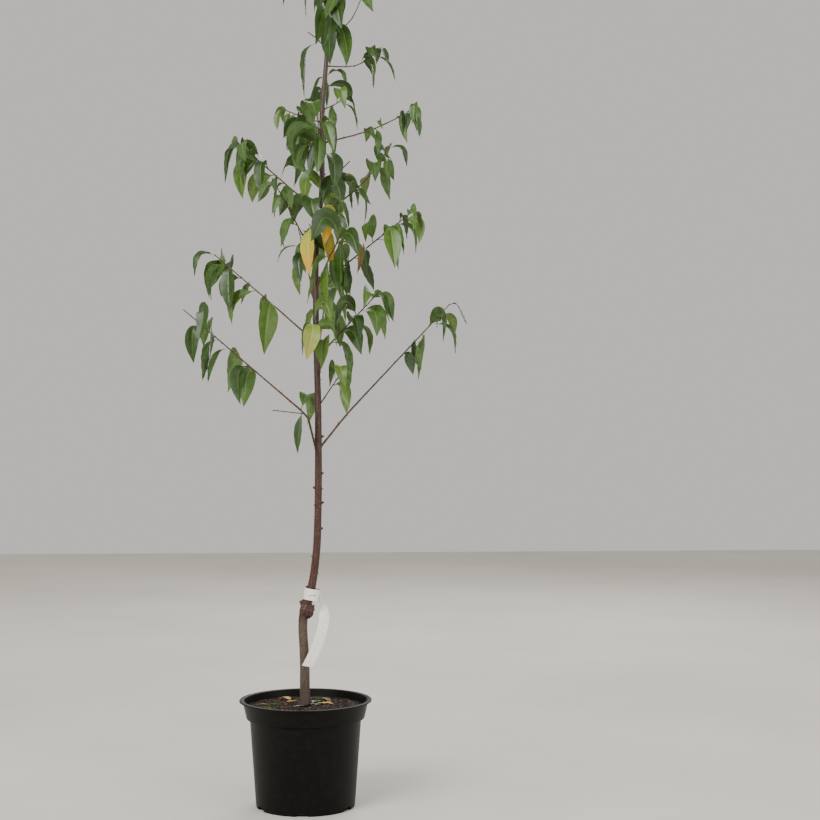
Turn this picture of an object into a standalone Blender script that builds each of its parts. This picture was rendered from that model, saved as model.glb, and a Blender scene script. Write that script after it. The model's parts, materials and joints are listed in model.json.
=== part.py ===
"""A young almond tree in a round black nursery pot, with a blank loop label on its trunk.

The pot, its compost, the trunk, the label, each bough and each mass of leaves are closed bodies of
their own. Lengths are in metres with +Z up, and the origin is the centre of the pot's underside.
Azimuths are in degrees from +X towards +Y, and rises in degrees above the level.
"""

import math
import random
from collections import defaultdict, namedtuple

import bmesh
import bpy
from mathutils import Matrix, Vector
from mathutils.bvhtree import BVHTree

GAP = 0.0003  # clearance where pieces meet
UP = Vector((0.0, 0.0, 1.0))
DOWN = Vector((0.0, 0.0, -1.0))

# Pot: radii of the outside, with one wall thickness all round
POT_HEIGHT = 0.225
POT_FOOT_RADIUS = 0.1045
POT_BODY_RADIUS = 0.1175
POT_COLLAR_RADIUS = 0.1250
POT_NECK_RADIUS = 0.1325
POT_RIM_RADIUS = 0.1400
POT_COLLAR_HEIGHT = 0.038
POT_STEP = 0.004
POT_LIP = 0.0025
POT_WALL = 0.0025
POT_FLOOR = 0.003
POT_EDGE = 0.002
POT_STEPS = 40
NOTCH_COUNT = 6
NOTCH_FIRST = -94.0
NOTCH_WIDTH = 0.026
NOTCH_HEIGHT = 0.008
NOTCH_DEPTH = 0.006

# Compost, filled to a little under the rim
COMPOST_TOP = 0.2125
COMPOST_CROWN = 0.0015
COMPOST_FLAT = 0.030

# Trunk: height, offset along X, offset along Y and diameter, from the compost to the leader's foot
TrunkStation = namedtuple("TrunkStation", "height x y diameter")
TRUNK = (
    TrunkStation(COMPOST_TOP + GAP, -0.0010, 0.0000, 0.0250),
    TrunkStation(0.2340, -0.0015, 0.0000, 0.0220),
    TrunkStation(0.3080, -0.0022, 0.0010, 0.0205),
    TrunkStation(0.3900, -0.0056, 0.0020, 0.0192),
    TrunkStation(0.4246, 0.0021, 0.0015, 0.0215),
    TrunkStation(0.4585, 0.0118, 0.0005, 0.0178),
    TrunkStation(0.5156, 0.0207, 0.0000, 0.0168),
    TrunkStation(0.5855, 0.0254, -0.0010, 0.0160),
    TrunkStation(0.7253, 0.0271, -0.0020, 0.0153),
    TrunkStation(0.8659, 0.0261, 0.0000, 0.0138),
    TrunkStation(0.9948, 0.0225, 0.0020, 0.0128),
    TrunkStation(1.1973, 0.0232, 0.0040, 0.0120),
    TrunkStation(1.3052, 0.0345, 0.0030, 0.0113),
    TrunkStation(1.4646, 0.0351, 0.0000, 0.0104),
    TrunkStation(1.5915, 0.0449, -0.0020, 0.0094),
    TrunkStation(1.7200, 0.0450, 0.0000, 0.0078),
    TrunkStation(1.8600, 0.0500, 0.0020, 0.0058),
)
TRUNK_RING_SPACING = 0.045
FLARE_RINGS = (0.006, 0.014)
TRUNK_SIDES = 10

# Graft: the swelling where the variety joins its rootstock, with the sawn stub beside it
GRAFT_CENTRE = Vector((0.0023, 0.0010, 0.4140))
GRAFT_HALF_SIZE = Vector((0.0163, 0.0150, 0.0200))
STUB_LEAN = 26.0
STUB_LENGTH = 0.0235
STUB_RADIUS = 0.0065
STUB_TAPER = 1.25

# Label: a closed loop round the trunk and a tail that bows away from it
LABEL_RADIUS = 0.0175
LABEL_BAND = 0.024
LABEL_THICKNESS = 0.0008
LABEL_CENTRE = Vector((0.0140, 0.0005, 0.4475))
LABEL_LEAN = 9.0
LABEL_SIDES = 28
LABEL_TAIL_WIDTH = 0.0215
LABEL_TAIL_ROWS = 14
LABEL_TWIST_SHARE = 0.35
LABEL_TAIL = (
    Vector((0.0300, -0.0040, 0.4440)),
    Vector((0.0380, -0.0095, 0.4180)),
    Vector((0.0391, -0.0140, 0.3956)),
    Vector((0.0338, -0.0180, 0.3700)),
    Vector((0.0264, -0.0210, 0.3475)),
    Vector((0.0155, -0.0232, 0.3215)),
    Vector((0.0035, -0.0245, 0.2982)),
)

# Twigs
TWIG_STEP = 0.024
SHORT_LEG = 0.002
BOUGH_SIDES = 6
TWIG_SIDES = 4
TWIG_TIP = 0.0020
SPUR_FOOT = 0.0024
NODE_SPACING = 0.024
ZIGZAG = 3.0

# Spaces that leaves keep out of: the trunk's, square in section and out to a share of its
# diameter, and each shoot's, taken at this many places along it
TRUNK_REACH = 0.71
TRUNK_PLACES = 82
SHOOT_PLACES = 16

# Leaves: shares of the leaf's length and of its width
LEAF_ROOT_RADIUS = 0.0009
LEAF_THICKNESS = 0.014
LEAF_WIDTH = 0.34
LEAF_RINGS = ((0.12, 0.0), (0.42, 1.0), (0.74, 0.70))
LEAF_STEPS = 20
LEAF_CLEARANCE = 0.0006
LEAF_TRIES = 5
TURN_BETWEEN_TRIES = 50.0
TURN_BETWEEN_LEAVES = 137.5
SPUR_BARE_SHARE = 0.3

# A spray is a few leaves on a stretch of shoot, or on a spur that leaves the shoot at its start
Spray = namedtuple("Spray", "start end leaves leaf_length spur seed")
Shoot = namedtuple(
    "Shoot", "name height azimuth sweep rise tip_rise turn_at turn_over length foot bough sprays"
)
Leaf = namedtuple("Leaf", "course directions normals length width fold")
SHOOTS = (
    Shoot("left_low", 0.732, 193, 0, 76, 40, 0.088, 0.020, 0.435, 0.0050, 0.098, (
        Spray(0.104, 0.104, 0, 0.000, 0.065, 1),
        Spray(0.104, 0.116, 2, 0.118, 0.000, 1160),
        Spray(0.225, 0.320, 4, 0.112, 0.000, 595),
        Spray(0.330, 0.415, 5, 0.108, 0.000, 485),
    )),
    Shoot("left_middle", 0.979, 166, 0, 41, 40, 0.100, 0.050, 0.292, 0.0042, 0.090, (
        Spray(0.110, 0.180, 3, 0.125, 0.000, 1455),
        Spray(0.185, 0.220, 2, 0.070, 0.000, 1266),
        Spray(0.235, 0.292, 6, 0.108, 0.000, 35),
    )),
    Shoot("left_upper", 1.151, 208, 0, 60, 58, 0.050, 0.050, 0.197, 0.0034, 0.050, (
        Spray(0.060, 0.110, 3, 0.090, 0.000, 662),
        Spray(0.150, 0.197, 4, 0.055, 0.000, 1303),
    )),
    Shoot("left_high", 1.257, 170, 0, 39, 41, 0.050, 0.050, 0.234, 0.0040, 0.060, (
        Spray(0.070, 0.150, 5, 0.095, 0.000, 382),
        Spray(0.155, 0.200, 4, 0.120, 0.000, 1243),
        Spray(0.205, 0.234, 4, 0.095, 0.000, 313),
    )),
    Shoot("left_top", 1.445, 156, 0, 20, 24, 0.050, 0.050, 0.100, 0.0030, 0.000, (
        Spray(0.035, 0.070, 4, 0.055, 0.000, 379),
        Spray(0.075, 0.100, 4, 0.045, 0.000, 535),
    )),
    Shoot("left_leader", 1.600, 190, 0, 45, 30, 0.020, 0.030, 0.050, 0.0026, 0.000, (
        Spray(0.012, 0.040, 2, 0.135, 0.000, 1538),
    )),
    Shoot("right_low", 0.753, 27, 0, 48, 43, 0.050, 0.100, 0.455, 0.0049, 0.270, (
        Spray(0.285, 0.345, 3, 0.060, 0.000, 475),
        Spray(0.355, 0.400, 3, 0.112, 0.000, 344),
        Spray(0.420, 0.455, 3, 0.075, 0.000, 1799),
    )),
    Shoot("right_lower", 0.844, -42, 0, 48, 50, 0.050, 0.050, 0.110, 0.0032, 0.040, (
        Spray(0.055, 0.110, 5, 0.085, 0.000, 271),
    )),
    Shoot("right_middle", 0.893, -13, 0, 80, 46, 0.054, 0.030, 0.240, 0.0042, 0.055, (
        Spray(0.070, 0.130, 4, 0.100, 0.000, 854),
        Spray(0.140, 0.190, 4, 0.100, 0.000, 988),
        Spray(0.200, 0.240, 4, 0.100, 0.000, 1608),
    )),
    Shoot("right_upper", 1.062, -20, 0, 56, 36, 0.050, 0.060, 0.284, 0.0042, 0.080, (
        Spray(0.095, 0.160, 5, 0.080, 0.000, 668),
        Spray(0.175, 0.225, 4, 0.110, 0.000, 850),
        Spray(0.235, 0.284, 6, 0.090, 0.000, 1373),
    )),
    Shoot("right_bare", 1.308, -50, 0, 28, 28, 0.050, 0.050, 0.098, 0.0032, 0.098, ()),
    Shoot("right_high", 1.242, 25, 0, 37, 54, 0.080, 0.120, 0.246, 0.0042, 0.055, (
        Spray(0.070, 0.130, 4, 0.080, 0.000, 1245),
        Spray(0.140, 0.195, 4, 0.100, 0.000, 81),
        Spray(0.200, 0.246, 5, 0.070, 0.000, 1234),
    )),
    Shoot("right_top", 1.402, -15, 0, 12, 30, 0.040, 0.180, 0.216, 0.0038, 0.080, (
        Spray(0.090, 0.140, 4, 0.060, 0.000, 1629),
        Spray(0.165, 0.216, 7, 0.070, 0.000, 910),
    )),
    Shoot("right_spur", 1.472, 36, 0, 24, 34, 0.020, 0.030, 0.062, 0.0026, 0.000, (
        Spray(0.030, 0.062, 4, 0.080, 0.000, 1160),
    )),
    Shoot("right_leader", 1.565, 19, 0, 2, 44, 0.030, 0.090, 0.136, 0.0028, 0.040, (
        Spray(0.080, 0.136, 7, 0.070, 0.000, 691),
    )),
    Shoot("right_tip_bare", 1.620, -22, 0, 32, 66, 0.030, 0.070, 0.116, 0.0025, 0.116, ()),
    Shoot("front_low", 0.985, -100, 0, 50, 40, 0.020, 0.030, 0.060, 0.0028, 0.000, (
        Spray(0.020, 0.060, 4, 0.100, 0.000, 554),
    )),
    Shoot("front_yellow", 1.195, -115, 0, 45, 35, 0.020, 0.030, 0.045, 0.0026, 0.000, (
        Spray(0.022, 0.045, 3, 0.130, 0.000, 1185),
    )),
    Shoot("front_middle", 1.090, -62, 0, 50, 40, 0.050, 0.050, 0.165, 0.0036, 0.050, (
        Spray(0.060, 0.110, 4, 0.120, 0.000, 1129),
        Spray(0.115, 0.165, 5, 0.120, 0.000, 734),
    )),
    Shoot("front_upper", 1.225, -82, 0, 45, 40, 0.050, 0.050, 0.095, 0.0030, 0.000, (
        Spray(0.030, 0.095, 5, 0.120, 0.000, 1293),
    )),
    Shoot("front_high", 1.320, -95, 0, 50, 40, 0.050, 0.050, 0.165, 0.0036, 0.050, (
        Spray(0.055, 0.110, 4, 0.110, 0.000, 165),
        Spray(0.115, 0.165, 5, 0.115, 0.000, 1681),
    )),
    Shoot("front_top", 1.405, -128, 0, 35, 35, 0.050, 0.050, 0.090, 0.0028, 0.000, (
        Spray(0.030, 0.090, 5, 0.080, 0.000, 270),
    )),
    Shoot("front_leader", 1.600, -70, 0, 60, 50, 0.050, 0.050, 0.120, 0.0030, 0.000, (
        Spray(0.030, 0.075, 4, 0.120, 0.000, 1481),
        Spray(0.080, 0.120, 4, 0.110, 0.000, 899),
    )),
    Shoot("back_low", 0.930, 82, 0, 50, 44, 0.050, 0.100, 0.300, 0.0044, 0.120, (
        Spray(0.140, 0.210, 4, 0.100, 0.000, 284),
        Spray(0.225, 0.300, 5, 0.095, 0.000, 69),
    )),
    Shoot("back_middle", 1.050, 101, 0, 48, 42, 0.050, 0.100, 0.270, 0.0042, 0.090, (
        Spray(0.105, 0.180, 4, 0.100, 0.000, 19),
        Spray(0.195, 0.270, 5, 0.095, 0.000, 381),
    )),
    Shoot("back_upper", 1.190, 72, 0, 46, 42, 0.050, 0.100, 0.245, 0.0040, 0.070, (
        Spray(0.085, 0.160, 4, 0.095, 0.000, 272),
        Spray(0.175, 0.245, 6, 0.090, 0.000, 437),
    )),
    Shoot("back_high", 1.345, 108, 0, 46, 42, 0.050, 0.100, 0.200, 0.0036, 0.050, (
        Spray(0.065, 0.130, 4, 0.090, 0.000, 242),
        Spray(0.140, 0.200, 5, 0.085, 0.000, 213),
    )),
    Shoot("back_top", 1.480, 84, 0, 42, 40, 0.050, 0.050, 0.140, 0.0030, 0.000, (
        Spray(0.040, 0.090, 4, 0.080, 0.000, 138),
        Spray(0.095, 0.140, 4, 0.075, 0.000, 154),
    )),
    Shoot("crown_back", 1.655, 70, 0, 50, 50, 0.050, 0.050, 0.130, 0.0028, 0.000, (
        Spray(0.040, 0.085, 4, 0.085, 0.000, 293),
        Spray(0.090, 0.130, 4, 0.080, 0.000, 324),
    )),
    Shoot("crown_left", 1.695, 165, 0, 48, 52, 0.050, 0.050, 0.130, 0.0028, 0.000, (
        Spray(0.040, 0.085, 4, 0.085, 0.000, 160),
        Spray(0.090, 0.130, 4, 0.080, 0.000, 449),
    )),
    Shoot("crown_right", 1.755, 12, 0, 52, 55, 0.050, 0.050, 0.105, 0.0026, 0.000, (
        Spray(0.035, 0.070, 3, 0.085, 0.000, 107),
        Spray(0.075, 0.105, 4, 0.075, 0.000, 450),
    )),
    Shoot("crown_front", 1.800, -95, 0, 54, 58, 0.050, 0.050, 0.090, 0.0024, 0.000, (
        Spray(0.030, 0.090, 5, 0.080, 0.000, 450),
    )),
)
LEADER = Shoot("leader", 1.860, 60, 0, 86, 84, 0.050, 0.050, 0.110, 0.0056, 0.000, (
    Spray(0.010, 0.060, 5, 0.095, 0.000, 450),
    Spray(0.062, 0.110, 5, 0.075, 0.000, 450),
))

# Finishes: base colour, roughness
FINISHES = {
    "pot plastic": ((0.010, 0.009, 0.008), 0.45),
    "compost": ((0.030, 0.018, 0.011), 0.95),
    "bark": ((0.090, 0.030, 0.018), 0.50),
    "twig bark": ((0.110, 0.060, 0.028), 0.55),
    "leaf": ((0.120, 0.210, 0.035), 0.45),
    "label plastic": ((0.860, 0.830, 0.790), 0.40),
}


# Small helpers
def ease(share):
    """Go smoothly from 0 to 1 as share does."""
    share = min(max(share, 0.0), 1.0)
    return share * share * (3.0 - 2.0 * share)


def heading(azimuth, rise):
    """Give the direction with this azimuth and rise."""
    level = math.cos(math.radians(rise))
    return Vector((
        level * math.cos(math.radians(azimuth)),
        level * math.sin(math.radians(azimuth)),
        math.sin(math.radians(rise)),
    ))


def across(direction, turn):
    """Give the direction square to another, turned round it by turn degrees."""
    side = direction.cross(UP)
    if side.length < 1e-4:
        side = Vector((1.0, 0.0, 0.0))
    return Matrix.Rotation(math.radians(turn), 3, direction) @ side.normalized()


# Growth rule
def trunk_at(height):
    """Give the trunk's centre and diameter at a height, on a smooth curve through its stations."""
    last = len(TRUNK) - 2
    index = 0
    while index < last and height > TRUNK[index + 1].height:
        index += 1
    low, high = TRUNK[index], TRUNK[index + 1]
    before, after = TRUNK[max(index - 1, 0)], TRUNK[min(index + 2, last + 1)]
    span = high.height - low.height
    share = (height - low.height) / span

    def curve(name):
        start, end = getattr(low, name), getattr(high, name)
        leave = (end - getattr(before, name)) / (high.height - before.height) * span
        arrive = (getattr(after, name) - start) / (after.height - low.height) * span
        rest = 1.0 - share
        return (
            start * rest * rest * (1.0 + 2.0 * share) + end * share * share * (3.0 - 2.0 * share)
            + leave * share * rest * rest - arrive * share * share * rest
        )

    return Vector((curve("x"), curve("y"), height)), curve("diameter")


def shoot_course(shoot):
    """Give the points and directions of a shoot, a step apart, from the trunk's centre line."""
    point = trunk_at(shoot.height)[0]
    count = math.ceil(shoot.length / TWIG_STEP)
    step = shoot.length / count
    points, directions = [point], []
    for index in range(count):
        run = (index + 0.5) * step
        turned = ease((run - shoot.turn_at) / shoot.turn_over)
        sway = ZIGZAG * math.sin(math.pi * run / NODE_SPACING)
        azimuth = shoot.azimuth + shoot.sweep * run / shoot.length + sway
        rise = shoot.rise + (shoot.tip_rise - shoot.rise) * turned
        directions.append(heading(azimuth, rise))
        points.append(points[-1] + directions[-1] * step)
    directions.append(directions[-1])
    return points, directions


def course_at(course, run):
    """Give the point and direction at a run along a course of points."""
    points, directions = course
    left = run
    for index in range(len(points) - 1):
        leg = points[index + 1] - points[index]
        if left <= leg.length or index == len(points) - 2:
            return points[index] + leg.normalized() * left, leg.normalized()
        left -= leg.length


def shoot_radius(shoot, run):
    """Give a shoot's radius at a run along it."""
    share = run / shoot.length
    return (shoot.foot * (1.0 - share) + TWIG_TIP * share) / 2.0


def make_leaf(root, start, length, draw):
    """Grow a leaf that sets off along start, bends over and hangs."""
    droop = draw.uniform(0.65, 1.0)
    bend = draw.uniform(0.25, 0.9)
    curl = draw.uniform(-0.35, 0.35)
    sweep = draw.uniform(-0.35, 0.25)
    roll = draw.uniform(-80.0, 80.0)
    twist = draw.uniform(-30.0, 30.0)
    fold = draw.uniform(12.0, 36.0)
    width = length * LEAF_WIDTH * draw.uniform(0.85, 1.12)
    outward = Vector((start.x, start.y, 0.0))
    side = start.cross(UP).normalized()
    points, directions, normals = [root.copy()], [], []
    for index in range(LEAF_STEPS):
        share = (index + 0.5) / LEAF_STEPS
        hang = droop * ease(share / bend)
        way = start.lerp(DOWN, hang) + side * (curl * share) + outward * (sweep * share * share)
        way.normalize()
        turned = Matrix.Rotation(math.radians(roll + twist * share), 3, way)
        directions.append(way)
        normals.append(turned @ side.cross(way).normalized())
        points.append(points[-1] + way * (length / LEAF_STEPS))
    directions.append(directions[-1])
    normals.append(normals[-1])
    return Leaf(points, directions, normals, length, width, fold)


def leaf_at(leaf, share):
    """Give the point, direction and normal at a share of a leaf's length."""
    place = min(share, 1.0) * LEAF_STEPS
    index = min(int(place), LEAF_STEPS - 1)
    point = leaf.course[index].lerp(leaf.course[index + 1], place - index)
    return point, leaf.directions[index], leaf.normals[index]


def leaf_rings(leaf, extra=0.0):
    """Give a leaf's rings of four corners, right edge first, as a folded blade with a midrib."""
    rings = []
    for share, spread in LEAF_RINGS:
        point, way, normal = leaf_at(leaf, share)
        side = normal.cross(way)
        half = max(leaf.width / 2.0 * spread, LEAF_ROOT_RADIUS) + extra
        thick = max(leaf.length * LEAF_THICKNESS / 2.0, LEAF_ROOT_RADIUS) + extra
        fold = math.radians(leaf.fold) if spread else 0.0
        edge, lift = half * math.cos(fold), half * math.sin(fold)
        rings.append((
            point + side * edge + normal * lift,
            point + normal * thick,
            point - side * edge + normal * lift,
            point - normal * thick,
        ))
    return rings


def leaf_tree(leaf, from_ring=0):
    """Give a search tree of a leaf's surface with its clearance, for the test of what it touches."""
    rings = leaf_rings(leaf, LEAF_CLEARANCE)[from_ring:]
    root = leaf.course[0] if from_ring == 0 else sum(rings[0], Vector()) / 4.0
    corners = [root, *(corner for ring in rings for corner in ring), leaf.course[-1]]
    last = len(corners) - 1
    faces = []
    for index in range(4):
        following = (index + 1) % 4
        faces.append((0, 1 + following, 1 + index))
        faces.append((last, last - 4 + index, last - 4 + following))
        for ring in range(len(rings) - 1):
            low = 1 + 4 * ring
            faces.append((low + index, low + following, low + 4 + following, low + 4 + index))
    return BVHTree.FromPolygons(corners, faces)


def limb_tree(points, radii):
    """Give a search tree of a limb, square in section, with its clearance."""
    corners, faces = [], []
    for index, (point, radius) in enumerate(zip(points, radii)):
        way = points[min(index + 1, len(points) - 1)] - points[max(index - 1, 0)]
        for turn in (0.0, 90.0, 180.0, 270.0):
            corners.append(point + across(way.normalized(), turn) * (radius + LEAF_CLEARANCE))
    for ring in range(len(points) - 1):
        for index in range(4):
            following = (index + 1) % 4
            low = 4 * ring
            faces.append((low + index, low + following, low + 4 + following, low + 4 + index))
    return BVHTree.FromPolygons(corners, faces)


class Plant:
    """What has grown so far: limbs and leaves, each with the name of the shoot that carries it."""

    def __init__(self):
        self.taken = []
        self.leaves = defaultdict(list)
        self.spurs = defaultdict(list)
        low, high = TRUNK[0].height, TRUNK[-1].height
        step = (high - low) / TRUNK_PLACES
        spots = [trunk_at(low + step * place) for place in range(TRUNK_PLACES + 1)]
        reach = [spot[1] * TRUNK_REACH for spot in spots]
        self.claim(None, limb_tree([spot[0] for spot in spots], reach))

    def claim(self, owner, tree):
        """Keep a limb's or a leaf's space from what grows later."""
        self.taken.append((owner, tree))

    def is_clear(self, owner, leaf):
        """Say whether a leaf touches nothing, apart from where it leaves its own twig."""
        whole = leaf_tree(leaf)
        blade = leaf_tree(leaf, 1)
        return not any(
            tree.overlap(blade if name == owner else whole) for name, tree in self.taken
        )

    def add_limb(self, shoot, course):
        """Claim the space of a shoot's wood: its bough from every leaf, the rest from the others'."""
        runs = [shoot.length * place / SHOOT_PLACES for place in range(1, SHOOT_PLACES + 1)]
        bough = [shoot.bough * place / SHOOT_PLACES for place in range(SHOOT_PLACES + 1)]
        for owner, places in ((shoot.name, runs), (None, bough if shoot.bough else [])):
            points = [course_at(course, run)[0] for run in places]
            self.claim(owner, limb_tree(points, [shoot_radius(shoot, run) for run in places]))

    def add_spray(self, shoot, course, spray):
        """Grow one spray by its seed, and leave out each leaf that finds no clear place."""
        draw = random.Random(spray.seed)
        turn = draw.uniform(0.0, 360.0)
        if spray.spur:
            point, way = course_at(course, spray.start)
            lean = draw.uniform(30.0, 50.0)
            side = across(way, turn)
            start = way * math.cos(math.radians(lean)) + side * math.sin(math.radians(lean))
            course = ([point, point + start * spray.spur], [start, start])
            self.spurs[shoot.name].append((point, point + start * spray.spur))
        first, last = spray.start, spray.end
        if spray.spur:
            first, last = SPUR_BARE_SHARE * spray.spur, spray.spur
        for index in range(spray.leaves):
            share = (index + draw.uniform(0.2, 0.8)) / spray.leaves
            root, way = course_at(course, first + (last - first) * share)
            length = spray.leaf_length * draw.uniform(0.78, 1.14)
            lean = draw.uniform(35.0, 75.0)
            seed = draw.random()
            for attempt in range(LEAF_TRIES):
                side = across(way, turn + attempt * TURN_BETWEEN_TRIES)
                start = way * math.cos(math.radians(lean)) + side * math.sin(math.radians(lean))
                leaf = make_leaf(root, start, length, random.Random(seed + attempt))
                if self.is_clear(shoot.name, leaf):
                    self.leaves[shoot.name].append(leaf)
                    self.claim(shoot.name, leaf_tree(leaf))
                    break
            turn += TURN_BETWEEN_LEAVES


def grow_plant():
    """Grow every shoot's leaves, limbs first, so that no leaf is in a limb's way."""
    plant = Plant()
    courses = {shoot.name: shoot_course(shoot) for shoot in (*SHOOTS, LEADER)}
    for shoot in (*SHOOTS, LEADER):
        plant.add_limb(shoot, courses[shoot.name])
    for shoot in (*SHOOTS, LEADER):
        for spray in shoot.sprays:
            plant.add_spray(shoot, courses[shoot.name], spray)
    return plant, courses


# Modelling
def finish(name):
    """Make one of the finishes as a Principled material."""
    colour, roughness = FINISHES[name]
    material = bpy.data.materials.new(name)
    material.use_nodes = True
    shader = material.node_tree.nodes["Principled BSDF"]
    shader.inputs["Base Color"].default_value = (*colour, 1.0)
    shader.inputs["Roughness"].default_value = roughness
    shader.inputs["Metallic"].default_value = 0.0
    return material


def add_object(name, mesh, collection, material=None):
    """Put a mesh in a collection as a named object."""
    piece = bpy.data.objects.new(name, mesh)
    if material:
        mesh.materials.clear()
        mesh.materials.append(material)
    collection.objects.link(piece)
    return piece


def mesh_from(bm, name):
    """Turn a bmesh into a mesh and free it."""
    mesh = bpy.data.meshes.new(name)
    bm.to_mesh(mesh)
    bm.free()
    return mesh


def turned_mesh(name, profile, steps):
    """Turn a profile round Z with a Screw modifier and give the result as a mesh."""
    mesh = bpy.data.meshes.new(name)
    edges = [(index, index + 1) for index in range(len(profile) - 1)]
    mesh.from_pydata([(radius, 0.0, height) for radius, height in profile], edges, [])
    piece = add_object(name, mesh, bpy.context.scene.collection)
    screw = piece.modifiers.new("Turn", "SCREW")
    screw.angle = 2.0 * math.pi
    screw.steps = steps
    screw.render_steps = steps
    screw.use_merge_vertices = True
    screw.merge_threshold = 0.00001
    return applied(piece)


def applied(piece):
    """Take an object's mesh as its modifiers leave it, and remove the object."""
    bpy.context.view_layer.update()
    evaluated = piece.evaluated_get(bpy.context.evaluated_depsgraph_get())
    mesh = bpy.data.meshes.new_from_object(evaluated)
    mesh.transform(piece.matrix_world)
    bpy.data.objects.remove(piece)
    return mesh


def tube_mesh(name, points, radii, sides):
    """Make a tapering tube with flat ends from a curve with a radius at each point."""
    curve = bpy.data.curves.new(name, "CURVE")
    curve.dimensions = "3D"
    curve.bevel_depth = 1.0
    curve.bevel_resolution = sides // 2 - 2
    curve.use_fill_caps = True
    spline = curve.splines.new("POLY")
    spline.points.add(len(points) - 1)
    for spot, point, radius in zip(spline.points, points, radii):
        spot.co = (*point, 1.0)
        spot.radius = radius
    mesh = applied(add_object(name, curve, bpy.context.scene.collection))
    bpy.data.curves.remove(curve)
    bm = bmesh.new()
    bm.from_mesh(mesh)
    bmesh.ops.remove_doubles(bm, verts=bm.verts, dist=0.00001)
    bm.to_mesh(mesh)
    bm.free()
    return mesh


def shoot_tube(shoot, course, start, end, sides):
    """Make the wood of a shoot between two runs along it, with a ring at each bend of its course."""
    count = len(course[0]) - 1
    bends = [shoot.length * step / count for step in range(count + 1)]
    runs = [start, *(run for run in bends if start + SHORT_LEG < run < end - SHORT_LEG), end]
    points = [course_at(course, run)[0] for run in runs]
    return tube_mesh(shoot.name, points, [shoot_radius(shoot, run) for run in runs], sides)


def leaf_mesh(leaf):
    """Shape a small ball into a leaf: root, petiole, two rings of blade and tip.

    Each four-sided face is split from the blade's edge, the same way on the top and underneath,
    so that the two thin sides can't cross.
    """
    bm = bmesh.new()
    bmesh.ops.create_uvsphere(bm, u_segments=4, v_segments=4, radius=1.0)
    rings = leaf_rings(leaf)
    places = {}
    for vertex in bm.verts:
        if abs(vertex.co.z) > 0.99:
            vertex.co = leaf.course[-1] if vertex.co.z > 0 else leaf.course[0]
            continue
        ring = round(math.asin(vertex.co.z) / (math.pi / 4.0)) + 1
        corner = round(math.atan2(vertex.co.y, vertex.co.x) / (math.pi / 2.0)) % 4
        places[ring, corner] = vertex
        vertex.co = rings[ring][corner]
    for ring in range(2):
        for edge in (0, 2):
            for middle in (1, 3):
                ends = [places[ring, edge], places[ring + 1, middle]]
                bmesh.ops.connect_verts(bm, verts=ends)
    return mesh_from(bm, "leaf")


def joined(base, others, operation="UNION", solver="EXACT"):
    """Join meshes to a base, or cut them from it, with one Boolean on a collection."""
    group = bpy.data.collections.new("Joining")
    bpy.context.scene.collection.children.link(group)
    for mesh in others:
        add_object("joining", mesh, group)
    piece = add_object("base", base, bpy.context.scene.collection)
    boolean = piece.modifiers.new("Join", "BOOLEAN")
    boolean.operation = operation
    boolean.solver = solver
    boolean.operand_type = "COLLECTION"
    boolean.collection = group
    mesh = applied(piece)
    for part in list(group.objects):
        bpy.data.objects.remove(part)
    bpy.data.collections.remove(group)
    return mesh


def pot_mesh():
    """Turn the pot with its stepped collar and thin lip, and cut the drain notches in its foot."""
    collar_foot = POT_HEIGHT - POT_COLLAR_HEIGHT
    lip_foot = POT_HEIGHT - POT_LIP
    outside = (
        (POT_RIM_RADIUS, POT_HEIGHT),
        (POT_RIM_RADIUS, lip_foot),
        (POT_NECK_RADIUS, lip_foot - POT_EDGE),
        (POT_COLLAR_RADIUS, collar_foot),
        (POT_BODY_RADIUS, collar_foot - POT_STEP),
        (POT_FOOT_RADIUS, POT_EDGE),
        (POT_FOOT_RADIUS - POT_EDGE, 0.0),
        (0.0, 0.0),
    )
    inside = (
        (0.0, POT_FLOOR),
        (POT_FOOT_RADIUS - POT_WALL, POT_FLOOR),
        (POT_BODY_RADIUS - POT_WALL, collar_foot - POT_STEP),
        (POT_COLLAR_RADIUS - POT_WALL, collar_foot),
        (POT_NECK_RADIUS - POT_WALL, POT_HEIGHT),
    )
    pot = turned_mesh("pot", inside + outside, POT_STEPS)
    notches = []
    for index in range(NOTCH_COUNT):
        turn = math.radians(NOTCH_FIRST + index * 360.0 / NOTCH_COUNT)
        bm = bmesh.new()
        bmesh.ops.create_cube(bm, size=1.0)
        size = Vector((2.0 * NOTCH_DEPTH, NOTCH_WIDTH, 2.0 * NOTCH_HEIGHT))
        bmesh.ops.scale(bm, vec=size, verts=bm.verts)
        bmesh.ops.translate(bm, vec=(POT_FOOT_RADIUS, 0.0, 0.0), verts=bm.verts)
        bmesh.ops.rotate(bm, cent=(0, 0, 0), matrix=Matrix.Rotation(turn, 3, "Z"), verts=bm.verts)
        notches.append(mesh_from(bm, "notch"))
    return joined(pot, notches, "DIFFERENCE")


def compost_mesh():
    """Turn the filling of the pot, which follows the pot's inside a gap clear of it."""
    collar_foot = POT_HEIGHT - POT_COLLAR_HEIGHT
    slope = (POT_NECK_RADIUS - POT_COLLAR_RADIUS) / POT_COLLAR_HEIGHT
    top_radius = POT_COLLAR_RADIUS + slope * (COMPOST_TOP - COMPOST_CROWN - collar_foot)
    inset = POT_WALL + 2.0 * GAP
    profile = (
        (0.0, COMPOST_TOP),
        (COMPOST_FLAT, COMPOST_TOP),
        (top_radius - inset, COMPOST_TOP - COMPOST_CROWN),
        (POT_COLLAR_RADIUS - inset, collar_foot + GAP),
        (POT_BODY_RADIUS - inset, collar_foot - POT_STEP + GAP),
        (POT_FOOT_RADIUS - inset, POT_FLOOR + GAP),
        (0.0, POT_FLOOR + GAP),
    )
    return turned_mesh("compost", profile, POT_STEPS)


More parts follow.
